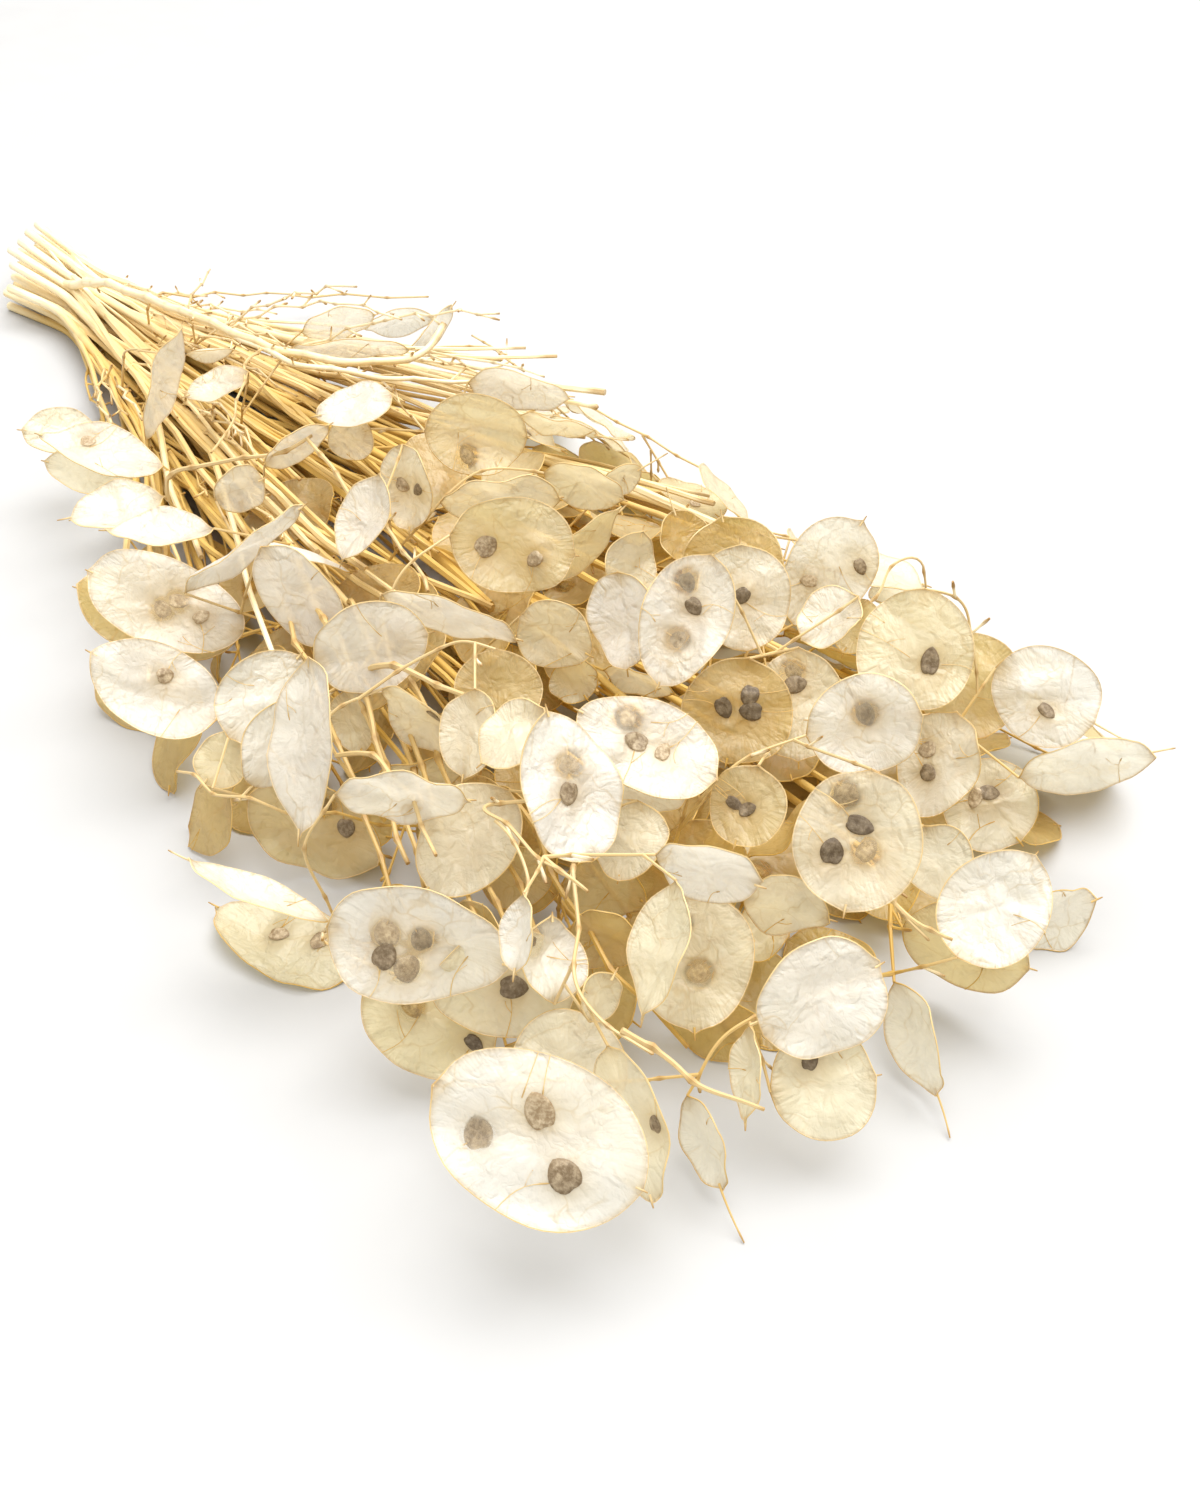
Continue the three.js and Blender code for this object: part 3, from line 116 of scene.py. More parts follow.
# Base across and down, tip across and down, width, nod, roll, lift, form, and where it has one,
# the length of its style and its seeds (1: a dark one).
podRows = [
    # nearest, in front of the tips
    [108, 271.3, 160.5, 297.5, 33, 0, 6, 12, "round", 0, [[141.3, 294.3], [135, 278.3], [119.5, 283.8]]],
    [153, 261, 164, 300, 20, 0, 42, 0, "leaf", 0, [[163.8, 281.3]]],
    [157, 271, 126.3, 265, 27, 0, 8, 0, "round"],
    [173, 273, 181.8, 297.5, 16, 0, 58, onTable, "leaf", 12, []],
    [192.5, 273, 219, 268.8, 26, 0, 10, 0, "round", 0, [[202.5, 265.5, 1]]],
    [188.8, 256.3, 187.8, 281.3, 14, 0, 55, 0, "leaf"],
    [190.5, 258.8, 220, 240.8, 26, 0, 22, 6, "round"],
    [224.5, 244.5, 235.8, 273.8, 18, 0, 55, onTable, "leaf", 10, []],
    [225, 231.3, 258.5, 241.8, 26, 0, 35, 0, "egg", 0, [[247, 239.5]]],
    [239.3, 239.5, 258.8, 214, 25, 0, 0, 6, "egg"],
    [252.5, 233.8, 274.3, 223.8, 20, 0, 45, onTable, "leaf"],
    [218, 192.5, 211.3, 227.8, 29, 0, 8, 8, "round", 0,
     [[211.5, 198.8], [214.5, 206.3, 1], [208, 213.3, 1], [216.3, 213]]],
    [164.3, 212.5, 190.5, 220.5, 22, 0, 55, 6, "leaf"],
    [170.3, 220.5, 162, 255, 20, 0, 50, 8, "leaf"],
    [172.5, 221.5, 173.8, 259.3, 29, 0, 5, 0, "egg", 0, [[175, 243.3], [169.5, 231.3]]],
    [185.5, 222.5, 208.3, 229, 22, 0, 50, 0, "leaf"],
    [197.5, 235, 183.8, 230, 20, 0, 30, -2, "egg"],
    [82, 231.3, 127.3, 241, 27, 0, 25, 8, "egg", 0,
     [[96.8, 233.3], [105.5, 235], [96.3, 238.3], [101.8, 241.3]]],
    [90.3, 245.3, 51.8, 226.3, 24, -25, 35, onTable, "egg", 0, [[69.5, 233.5], [80, 236.3]]],
    [81.8, 231.8, 46.3, 216.3, 14, 0, 62, 2, "leaf", 5, []],
    [107, 246.3, 145, 246.3, 27, 0, 25, 0, "round", 0, [[128, 246.3, 1]]],
    [137.5, 251.3, 137, 228.8, 18, 0, 40, 4, "leaf", 0, [[132.5, 235.5]]],
    [132.5, 223.8, 130, 243.8, 14, 0, 62, 8, "leaf"],
    [90.5, 246.3, 124, 263, 26, 0, 20, -4, "round", 0, [[103, 251.3], [118.8, 261.3, 1]]],
    [146.3, 255, 152.5, 243, 14, 0, 50, 0, "leaf"],
    # left edge, from the tips back to the waist
    [54, 180.5, 23, 163.8, 25, 0, 15, 4, "egg", 0, [[40.8, 169.5]]],
    [61, 159, 22, 143, 26, 0, 10, 4, "round", 0, [[40.8, 152.5], [44.5, 150.3], [50, 154.5]]],
    [60, 160, 19.5, 147.5, 27, 0, 20, -4, "round", 0, [[60, 145.8]]],
    [45.5, 147.5, 75, 125.8, 18, 0, 66, 10, "leaf"],
    [53.5, 133.3, 26.5, 133.8, 20, 0, 60, 6, "leaf"],
    [41.3, 125, 17, 130.5, 20, 0, 42, 2, "leaf", 3, []],
    [40.8, 117.5, 9.5, 109.5, 22, 0, 45, 4, "leaf", 0, [[21.8, 110.5]]],
    [25, 110, 5.5, 108.3, 20, 0, 35, 0, "leaf"],
    [33.8, 121.3, 11, 116, 18, 0, 30, 0, "leaf"],
    [35.5, 110, 44.5, 81, 18, 0, 58, 4, "leaf"],
    [62.5, 93.8, 46.8, 100, 15, 0, 50, 2, "leaf"],
    [46.3, 88, 58.8, 87.5, 12, 0, 70, 2, "leaf"],
    [57, 184.5, 75, 163.8, 22, 0, 5, 4, "egg"],
    [62.5, 196.3, 75, 175, 20, 0, 38, 4, "round"],
    [78.3, 164.5, 75.8, 208.8, 24, 0, 50, 10, "leaf", 3, []],
    [61.3, 183.8, 51.3, 196.3, 16, 0, 30, -2, "round"],
    [60.8, 198.3, 97, 216.3, 27, 0, 28, 2, "egg", 0, [[81.3, 200.8], [86.8, 206.3]]],
    [83.8, 197.5, 117.5, 198.8, 22, 0, 58, 8, "leaf"],
    [128, 197.5, 106.3, 223.8, 25, 0, 22, 4, "egg"],
    # over the middle of the stems
    [96.3, 171.3, 114.5, 187, 20, 0, 58, 0, "leaf", 0, [[110, 177.5]]],
    [119.5, 172.5, 116.3, 195.3, 18, 0, 38, 0, "egg"],
    [124.3, 162.5, 125, 186.3, 22, 0, 18, 0, "egg"],
    [136.3, 178, 121.3, 191.3, 20, 0, 40, 0, "egg"],
    [78.5, 165, 107, 158, 25, 0, 20, 6, "egg"],
    [95.8, 147.5, 130, 158.8, 18, 0, 66, 6, "leaf"],
    [65.5, 136.3, 83.8, 161.3, 23, 0, 12, 5, "round"],
    [65, 135, 89.3, 141.8, 12, 0, 70, 6, "leaf"],
    [53.8, 125, 65.5, 119.5, 18, 0, 35, 3, "round"],
    [65.5, 115.8, 81.8, 105.5, 16, 0, 55, 4, "leaf"],
    [98.3, 100, 79.5, 105, 20, 0, 50, 2, "leaf"],
    [93, 107.5, 82.5, 112.5, 15, 0, 15, 0, "egg"],
    [95.8, 119, 86.3, 141.3, 20, 0, 48, 4, "leaf"],
    [101.3, 111.3, 103, 133, 20, 0, 40, 3, "egg", 0, [[100, 121.3], [104.5, 122.5]]],
    [106.3, 107.5, 131.8, 108.8, 26, 0, 12, 2, "bowl", 0, [[116.8, 113.8]]],
    [117.5, 95, 142.5, 98.3, 20, 0, 55, 2, "leaf"],
    [130, 103, 150, 108, 18, 0, 60, 0, "leaf", 10, []],
    [112.5, 133.8, 143.8, 138.8, 27, 0, 12, 2, "round", 0, [[121.3, 137], [133.8, 139.5]]],
    [110, 125, 140, 123.8, 20, 0, 30, 0, "round"],
    [136.3, 117.5, 156.3, 124.3, 18, 0, 48, 0, "leaf"],
    [151.3, 121.3, 160, 116.3, 12, 0, 50, 0, "leaf", 9, []],
    [135, 145, 155, 126.3, 20, 0, 50, -2, "leaf"],
    [75, 82.5, 93.8, 78, 18, 0, 50, 2, "leaf"],
    [90, 81.3, 108.8, 78.8, 16, 0, 50, 0, "leaf"],
    [102, 89.5, 112.5, 76, 14, 0, 58, 2, "leaf"],
    [72.5, 86.3, 102.5, 86.3, 16, 0, 62, 9, "leaf"],
    [129.8, 153.8, 148, 163.8, 20, 0, 25, 0, "egg"],
    # the head, from the middle to the right tip
    [147.5, 215.5, 136.3, 178, 24, 0, 24, 8, "egg", 0, [[141.8, 191.3], [142, 198.3]]],
    [179.3, 195.5, 144, 178, 24, 0, 22, 8, "egg", 0, [[156.8, 180], [159.3, 185.8], [165.5, 188.5]]],
    [187.5, 163.8, 181.3, 192, 29, 0, 0, 6, "round", 0,
     [[180.8, 176.8, 1], [187.5, 173.8, 1], [188, 178, 1]]],
    [178, 138.8, 164.5, 172, 23, 0, 8, 8, "egg", 0, [[171.8, 145.5], [173.3, 151.5], [169.3, 160]]],
    [155, 143, 157.5, 167.5, 22, 0, 36, 2, "egg"],
    [155.5, 148, 160, 133, 18, 0, 32, 0, "egg"],
    [186.8, 163, 185, 136.3, 25, 0, 8, 2, "round", 0, [[185.3, 149, 1]]],
    [186.3, 155, 180.5, 129.3, 28, 0, 0, -6, "round"],
    [172.5, 140, 168, 128, 16, 0, 30, -8, "egg", 7, []],
    [198, 156.3, 215.5, 130.5, 25, 0, 12, 2, "round", 0, [[202.3, 145.3], [214.8, 141.5]]],
    [215, 150, 200, 160, 20, 0, 45, 4, "egg"],
    [231.3, 147.5, 226.3, 178, 31, 0, 5, 6, "round", 0, [[232.5, 165.8]]],
    [200, 161.3, 200, 191.3, 24, 0, 20, 0, "round", 0, [[198.3, 168], [198.8, 171.3]]],
    [201.5, 183.8, 230.5, 178.8, 25, 0, 10, 6, "round", 0, [[216.3, 178.5]]],
    [240, 177.5, 228.8, 205.5, 24, 0, 25, 2, "egg", 0, [[231.8, 193.3], [232, 187.5]]],
    [246.3, 185, 237.5, 158, 28, 0, 8, -4, "round"],
    [248.8, 167, 273.8, 181, 26, 0, 5, 2, "round", 9, [[261.5, 177.5]]],
    [254.3, 193.5, 288.3, 187, 22, 0, 50, 2, "leaf", 5, []],
    [239.5, 191.3, 255.5, 211.3, 24, 0, 12, 0, "round", 0, [[244, 199.3], [247, 198.3]]],
    [231.3, 206.3, 238.8, 225, 18, 0, 20, 1, "egg"],
    [190, 191.3, 183.8, 212, 20, 0, 18, 0, "round", 0, [[183.3, 200.8, 1], [186.5, 202.5, 1]]],
    [160, 200, 155, 220.8, 20, 0, 28, 0, "egg"],
    [172.5, 200, 150, 193.8, 20, 0, 45, 0, "egg"],
    [140, 220, 162.5, 225, 18, 0, 35, -4, "egg"],
    [142.5, 231.3, 160, 238.8, 18, 0, 35, -4, "egg"],
    [120, 217.5, 138.8, 220, 18, 0, 30, -4, "egg"],
    [92.5, 197.5, 117.5, 190, 17, 0, 40, -2, "egg"],
    [86.3, 172.5, 91.3, 188.8, 14, 0, 30, -2, "egg"],
    [140, 165, 147.5, 175, 16, 0, 30, -2, "egg"],
    [150.5, 166.3, 170, 173, 16, 0, 62, 0, "leaf"],
    [217.5, 150, 211.3, 163.8, 16, 0, 30, -4, "egg"],
]

# Bare branches: from, to, lift, thickness.
branchRows = [
    [143, 248, 163, 263.5, 4, 1.0],
    [118, 201, 140, 217.5, 6, 0.9],
    [222.5, 225, 232, 235, 4, 0.8],
    [38, 73.8, 75, 73.8, 6, 0.8],
    [75, 73.8, 107, 74.3, 6, 0.7],
    [46, 77.5, 52.5, 67.5, 6, 0.6],
    [61, 201, 44.3, 193, 2, 0.6],
    [30, 88, 37.5, 87.5, 4, 0.8],
    [128, 90, 118, 84, 4, 0.6],
]

drawState = bunch["seed"]
drawTimes, drawRound = 16807, 2147483647  # the same draws on every machine


def draw():
    global drawState
    drawState = drawState * drawTimes % drawRound
    return drawState / drawRound


def between(low, high):
    return low + (high - low) * draw()


def mix(start, end, share):
    return start + (end - start) * share


def unit(vector):
    return vector / np.sqrt((vector * vector).sum(-1, keepdims=True))


def lengthOf(vector):
    return np.sqrt((vector * vector).sum(-1))


def runAlong(path):  # the way covered up to each point of a path
    return np.concatenate([[0], np.cumsum(lengthOf(np.diff(path, axis=0)))])


def turned(vector, axis, angle):  # a vector turned about an axis
    cross = np.cross(axis, vector)
    along = axis * (axis @ vector) * (1 - math.cos(angle))
    return vector * math.cos(angle) + cross * math.sin(angle) + along


def lookUp(table, x):
    last = table[0]
    for row in table:
        if x <= row[0]:
            step = row[0] - last[0]
            return row[1] if step == 0 else mix(last[1], row[1], (x - last[0]) / step)
        last = row
    return last[1]


# The eye that the pods are arranged by, and its window.
eyeTurn = math.radians(window["turn"])
eyeDown = math.radians(window["down"])
eyeForward = np.array([-math.sin(eyeTurn) * math.cos(eyeDown), math.cos(eyeTurn) * math.cos(eyeDown),
                       -math.sin(eyeDown)])
eyeRight = np.array([math.cos(eyeTurn), math.sin(eyeTurn), 0.0])
eyeUp = np.cross(eyeRight, eyeForward)
eye = -window["eyeAway"] * eyeForward


def sightLine(across, down):
    aside = eyeRight * (across - window["middle"][0]) + eyeUp * (window["middle"][1] - down)
    return unit(eyeForward * window["away"] + aside)


def moundHeight(x, y):
    edge = lookUp(mound["far"] if y > 0 else mound["near"], x)
    share = min(1, y / edge)
    return lookUp(mound["ridge"], x) * math.sqrt(1 - share * share)


def moundDistance(line):  # how far along a sight line the mound is met, or passed closest
    closest, leastGap = 0, math.inf
    for z in range(mound["top"], mound["foot"] - 1, -1):
        away = (z - eye[2]) / line[2]
        place = eye + line * away
        gap = z - moundHeight(place[0], place[1])
        if gap < leastGap:
            closest, leastGap = away, gap
        if gap <= 0:
            break
    return closest


# Pod walls. A pod's numbers may also be columns, for many pods at once.
def halfWidth(pod, along):
    share = 2 * along / pod["long"]
    inside = np.clip(1 - share * share, 0, None)
    full = pod["wide"] / 2 * inside ** ((1 + pod["point"]) / 2) * (1 + pod["egg"] * share)
    return np.where(np.abs(share) < 1, full, 0)


def curl(pod, along, across):
    p = 2 * along / pod["long"]
    q = 2 * across / pod["wide"]
    return pod["cup"] * np.minimum(q * q, 1) + pod["bend"] * np.minimum(p * p, 1)


def onBlade(pod, along, across):
    along = np.asarray(along, float)[..., None]
    across = np.asarray(across, float)[..., None]
    flat = pod["middle"] + pod["length"] * along + pod["side"] * across
    return flat + pod["face"] * curl(pod, along, across)


def raised(pod, along, across, height):  # on a blade and then off it by a height
    return onBlade(pod, along, across) + pod["face"] * height[:, None]


def outlinePoint(pod, turn, share):
    reach = pod["long"] / 2 * np.cos(turn)
    return reach * share, np.sign(np.sin(turn)) * halfWidth(pod, reach) * share


def rimPoints(pod):
    turns = 2 * np.pi * np.arange(pod["corners"]) / pod["corners"]
    return onBlade(pod, *outlinePoint(pod, turns, 1))


def styleEnd(pod):
    return onBlade(pod, pod["long"] / 2, 0) + pod["length"] * pod["style"]


def takeSamples(pod):  # the middle, then the half-way points, then the rim
    turns = 2 * np.pi * np.arange(wall["spokes"]) / wall["spokes"]
    half = onBlade(pod, *outlinePoint(pod, turns, 0.5))
    rim = onBlade(pod, *outlinePoint(pod, turns, 1))
    pod["samples"] = np.concatenate([pod["middle"][None], half, rim])


def moveTo(pod, middle):
    pod["middle"] = middle
    takeSamples(pod)


def lowestPoint(pod):
    base = onBlade(pod, -pod["long"] / 2, 0)[2] - twigs["radius"]
    style = styleEnd(pod)[2] - (twigs["radius"] if pod["style"] > 0 else 0)
    lowest = min(base, style, rimPoints(pod)[:, 2].min())
    return lowest - abs(pod["face"][2]) * wall["thickness"] / 2


def stacked(many):  # many pods as columns of numbers
    columns = {key: np.array([pod[key] for pod in many], float)[:, None]
               for key in ["long", "wide", "point", "egg", "cup", "bend"]}
    for key in ["middle", "length", "side", "face"]:
        columns[key] = np.array([pod[key] for pod in many])[:, None]
    columns["samples"] = np.array([pod["samples"] for pod in many])
    return columns


def offBlade(pod, places, gap):  # how far places lie off a wall, and not a number beside it
    away = places - pod["middle"]
    along = (away * pod["length"]).sum(-1)
    across = (away * pod["side"]).sum(-1)
    off = (away * pod["face"]).sum(-1) - curl(pod, along, across)
    beside = (np.abs(along) > pod["long"] / 2 + gap) | (np.abs(across) > halfWidth(pod, along) + gap)
    return np.where(beside, np.nan, off)


def bladeMeets(pod, samples, gap):
    off = offBlade(pod, samples, gap)
    count = wall["spokes"]
    middle, half, rim = off[:, :1], off[:, 1:count + 1], off[:, count + 1:]
    through = (middle * half < 0) | (half * rim < 0) | (rim * np.roll(rim, -1, 1) < 0)
    return (np.abs(off) < gap).any(1) | through.any(1)


def podsMeet(pod, others):
    apart = lengthOf(others["middle"][:, 0] - pod["middle"])
    near = apart <= (others["long"][:, 0] + pod["long"]) / 2 + wall["gap"]
    if not near.any():
        return False
    close = {key: value[near] for key, value in others.items()}
    samples = pod["samples"][None]
    return (bladeMeets(pod, close["samples"], wall["gap"]).any()
            or bladeMeets(close, samples, wall["gap"]).any())


def standsBehind(pod, places):  # how far a wall stands behind places, as the eye sees them
    line = places - eye
    reach = ((pod["middle"] - eye) * pod["face"]).sum(-1) / (line * pod["face"]).sum(-1)
    hit = eye + line * reach[..., None] - pod["middle"]
    along = (hit * pod["length"]).sum(-1)
    inside = (np.abs(along) < pod["long"] / 2) & (
        np.abs((hit * pod["side"]).sum(-1)) < halfWidth(pod, along))
    return np.where(inside, reach - 1, np.nan)


def covered(fronts, back):  # whether the pod hides any of those that stand out further
    if not fronts:
        return False
    fronts = stacked(fronts)
    own = [0] + list(range(wall["spokes"] + 1, 2 * wall["spokes"] + 1))
    return ((standsBehind(fronts, back["samples"][None, own]) > 0).any()
            or (standsBehind(back, fronts["samples"][:, own]) < 0).any())


# A strand is a stem, a shoot or a twig: close points with a radius at each, straight between
# its corners.
strands = []


def allPoints():  # of every strand: places, radii and stems
    if allPoints.count != len(strands):
        allPoints.count = len(strands)
        allPoints.places = np.concatenate([strand["path"] for strand in strands])
        allPoints.radii = np.concatenate([strand["radii"] for strand in strands])
        allPoints.stems = np.concatenate([[strand["stem"]] * len(strand["path"]) for strand in strands])
    return allPoints.places, allPoints.radii, allPoints.stems


allPoints.count = 0


def halfUp(number):
    return math.floor(number + 0.5)


def cornersOf(first, last, spacing):
    count = max(1, halfUp((last - first) / spacing))
    return [first + halfUp((last - first) * k / count) for k in range(count + 1)]


def straighten(path, corners):
    straight = path.copy()
    for last, corner in zip(corners, corners[1:]):
        share = (np.arange(last, corner) - last)[:, None] / (corner - last)
        straight[last:corner] = path[last] + (path[corner] - path[last]) * share
    return straight


def stemPath(layer, slot, count, fan, reach):
    side = (slot - (count - 1) / 2 + (layer % 2 - 0.5) * stems["layerShift"]) * stems["pitch"]
    foot = stems["radius"] * math.cos(math.pi / stems["sides"]) + layer * stems["pitch"]
    tipX = stems["waistX"] + reach * math.cos(math.radians(fan))
    tipY = stems["waistY"] + reach * math.sin(math.radians(fan))
    tipZ = stems["tipHeight"][layer]
    start = stems["cutX"] - stems["cutSkew"] * side + between(-stems["cutStagger"], stems["cutStagger"])
    phase = between(0, 1)
    waves = between(*stems["waves"])
    behind = math.ceil((stems["waistX"] - start) / bunch["step"])
    ahead = math.ceil((tipX - stems["waistX"]) / bunch["step"])
    path = []
    for k in range(behind):
        share = 1 - k / behind
        wider = 1 + stems["cutSpread"] * share
        y = stems["waistY"] + stems["cutSlant"] * (start - stems["waistX"]) * share + side * wider
        path.append([mix(stems["waistX"], start, share), y, foot if layer == 0 else foot * (1 + wider) / 2])
    for k in range(ahead + 1):
        share = k / ahead
        stray = stems["wander"] * share * (1 - share / 2) * math.sin(2 * math.pi * (waves * share + phase))
        lift = max(0, share - stems["flatRun"]) / (1 - stems["flatRun"])
        y = mix(stems["waistY"] + side, tipY, share ** stems["fanBend"]) + stray
        path.append([stems["waistX"] + bunch["step"] * k, y, mix(foot, tipZ, lift)])
    return np.array(path, float), behind


def addStrand(stem, path, corners, thick, thin, parent):
    share = np.clip(np.arange(len(path)) / (len(path) - 1) - stems["evenRun"], 0, None)
    radii = mix(thick, thin, share / (1 - stems["evenRun"]))
    strand = {"stem": stem, "path": path, "corners": corners, "radii": radii, "parent": parent,
              "carried": 1}
    strands.append(strand)
    return strand


def strandsMeet(stem, path, radius, gap):
    places, radii, owners = allPoints()
    reach = radii + radius + gap
    low, high = path.min(0), path.max(0)
    near = (owners != stem) & ((places > low - reach[:, None]) & (places < high + reach[:, None])).all(1)
    if not near.any():
        return False
    apart = ((places[near][:, None] - path[None]) ** 2).sum(-1)
    return (apart < (reach[near] ** 2)[:, None]).any()


def curvePath(start, startWay, endWay, end, spacing):
    steps = max(3, math.ceil(lengthOf(end - start) / bunch["step"]))
    t = (np.arange(steps + 1) / steps)[:, None]
    path = ((1 - t) ** 3 * start + 3 * (1 - t) ** 2 * t * (start + startWay)
            + 3 * (1 - t) * t ** 2 * (end - endWay) + t ** 3 * end)
    corners = cornersOf(0, steps, spacing)
    return straighten(path, corners), corners


def wayAt(path, k):
    return unit(path[min(k + 1, len(path) - 1)] - path[max(k - 1, 0)])


def addShoot(parent):
    for _ in range(shoots["tries"]):
        leave = math.floor(len(parent["path"]) * between(*shoots["leaves"]))
        start = parent["path"][leave]
        way = wayAt(parent["path"], leave)
        turn = math.radians(between(*shoots["turns"])) * (-1 if draw() < 0.5 else 1)
        length = between(*shoots["lengths"])
        heading = turned(way, np.array([0.0, 0.0, 1.0]), turn)
        end = start + heading * length
        end[2] = start[2] + between(*shoots["rises"])
        path, corners = curvePath(start, way * length / 3, heading * length / 3, end, shoots["corner"])
        outside = end[2] < shoots["lowest"] or end[0] > shoots["limit"] or abs(end[1]) > shoots["limit"]
        if not outside and not strandsMeet(parent["stem"], path, shoots["radius"], bunch["gap"]):
            addStrand(parent["stem"], path, corners, shoots["radius"], shoots["tipRadius"], parent)
            return


def growStems():
    for level, layer in enumerate(stems["layers"]):
        for slot, (fan, reach) in enumerate(layer):
            path, behind = stemPath(level, slot, len(layer), fan, reach)
            corners = [0] + cornersOf(behind, len(path) - 1, stems["corner"])
            addStrand(len(strands), straighten(path, corners), corners, stems["radius"],
                      stems["tipRadius"], None)
    for main in list(strands):
        addShoot(main)


pods = []


def isFree(pod):
    if lowestPoint(pod) <= -0.001:
        return False
    if pods and podsMeet(pod, stacked(pods)):
        return False
    places, radii, _ = allPoints()
    off = offBlade(pod, places, radii + bunch["gap"])
    return not (np.abs(off) < radii + bunch["gap"]).any()


def facing(line, lengthWay, nod, roll):
    face = -line
    length = unit(lengthWay - face * (lengthWay @ face))
    side = np.cross(face, length)
    length = turned(length, side, -math.radians(nod))
    face = turned(face, side, -math.radians(nod))
    side = turned(side, length, math.radians(roll))
    face = turned(face, length, math.radians(roll))
    return {"length": length, "side": side, "face": face}


def seenOn(pod, across, down):
    line = sightLine(across, down)
    reach = ((pod["middle"] - eye) @ pod["face"]) / (line @ pod["face"])
    place = eye + line * reach - pod["middle"]
    return place @ pod["length"], place @ pod["side"]


def keepInside(pod, along, across):
    room = pod["long"] / 2 - 1.5 * wall["seedRadius"]
    inner = max(-room, min(room, along))
    aside = max(0, float(halfWidth(pod, inner)) - wall["seedRadius"])
    return inner, max(-aside, min(aside, across))


def slideBy(tries):
    return math.ceil(tries / 2) * (-wall["slideStep"] if tries % 2 == 0 else wall["slideStep"])


def layPod(row):
    baseAcross, baseDown, tipAcross, tipDown, wide, nod, roll, lift, form = row[:9]
    style, seeds = row[9:] or (0, [])
    line = sightLine((baseAcross + tipAcross) / 2, (baseDown + tipDown) / 2)
    lengthWay = sightLine(tipAcross, tipDown) - sightLine(baseAcross, baseDown)
    pod = {**wall["forms"][form], "form": form, "wide": wide, "style": style, "lift": lift}
    away = moundDistance(line) - (0 if lift == onTable else lift)
    pod["long"] = math.sqrt(lengthWay @ lengthWay) * away / math.cos(math.radians(nod))
    fronts = [other for other in pods if other["lift"] >= lift + wall["coverLift"]]
    for turn in wall["rollTries"]:
        pod.update(facing(line, lengthWay, nod, roll + turn))
        moveTo(pod, eye + line * away)
        if lift == onTable:
            moveTo(pod, pod["middle"] + line * (lowestPoint(pod) / -line[2]))
        start = pod["middle"]
        for tries in range(1 if lift == onTable else wall["slideTries"]):
            moveTo(pod, start + line * slideBy(tries))
            if isFree(pod) and not covered(fronts, pod):
                pod["seeds"] = [[*keepInside(pod, *seenOn(pod, *seed[:2])), *seed[2:]] for seed in seeds]
                pods.append(pod)
                return


def layFiller(seen, low):
    for _ in range(fillers["tries"]):
        x = between(*fillers["span"])
        share = between(*(fillers["lowShares"] if low else fillers["shares"]))
        y = share * lookUp(mound["far"], x) if share > 0 else -share * lookUp(mound["near"], x)
        z = moundHeight(x, y) * between(*fillers["depths"])
        heading = math.radians(between(*fillers["headings"]))
        lengthWay = np.array([math.cos(heading), math.sin(heading), between(*fillers["slopes"])])
        aside = between(-fillers["aside"], fillers["aside"])
        outward = np.array([aside, fillers["outward"][0] + fillers["outward"][1] * share, fillers["upward"]])
        form = "round" if draw() < fillers["roundShare"] else "egg"
        turn = between(-fillers["turn"], fillers["turn"])
        pod = {**wall["forms"][form], "form": form, **facing(-unit(outward), lengthWay, 0, turn)}
        pod["long"] = between(*fillers["lengths"])
        pod["wide"] = pod["long"] * between(*fillers["widths"])
        pod["style"], pod["lift"] = 0, None
        aside = fillers["seedAside"]
        hasSeed = draw() < fillers["seedShare"]
        pod["seeds"] = [(between(-aside, aside), between(-aside, aside))] if hasSeed else []
        moveTo(pod, np.array([x, y, z]))
        if low:
            moveTo(pod, np.array([x, y, z - lowestPoint(pod)]))
        if isFree(pod) and not covered(seen, pod):
            pods.append(pod)
            return


loads = {}


def twigIsFree(stem, path, walls):
    off = offBlade(walls, path[None], twigs["gap"])
    if (np.abs(off) < twigs["gap"]).any() or (off[:, 1:] * off[:, :-1] < 0).any():
        return False
    return not strandsMeet(stem, path, twigs["thickest"], bunch["gap"])


def growTwig(base, onward, ending, walls, thick):
    approach = base - onward * twigs["approach"]
    choices = []
    for strand in strands:
        path = strand["path"]
        first = 2 if strand["parent"] else math.floor(len(path) * stems["bareRun"])
        k = np.arange(first, len(path) - 1, 2)
        if len(k) == 0:
            continue
        gap = approach - path[k]
        distance = lengthOf(gap)
        ways = unit(path[k + 1] - path[k - 1])
        forward = (gap * ways).sum(1) / distance
        cost = distance * (twigs["turnCost"][0] - twigs["turnCost"][1] * forward)
        cost *= 1 + twigs["crowdCost"] * loads.get(strand["stem"], 0)
        choices += [(c, strand, i, d) for c, i, d in zip(cost, k, distance) if d <= twigs["longest"]]
    choices.sort(key=lambda choice: choice[0])
    for _, strand, k, distance in choices[:twigs["tries"]]:
        for bow in twigs["bows"]:
            reach = (distance + twigs["approach"]) * bow
            spacing = twigs["corner"] if distance > twigs["long"] else twigs["corner"] / 2
            path, corners = curvePath(strand["path"][k], wayAt(strand["path"], k) * reach,
                                      onward * reach, base, spacing)
            if len(ending):
                path = np.concatenate([path, ending])
                corners = corners + [len(path) - 1]
            if path[:, 2].min() > thick and twigIsFree(strand["stem"], path, walls):
                twig = addStrand(strand["stem"], path, corners, thick, twigs["radius"], strand)
                loads[strand["stem"]] = loads.get(strand["stem"], 0) + 1
                carrier = strand
                while carrier:
                    carrier["carried"] += 1
                    carrier = carrier["parent"]
                return twig
    return None


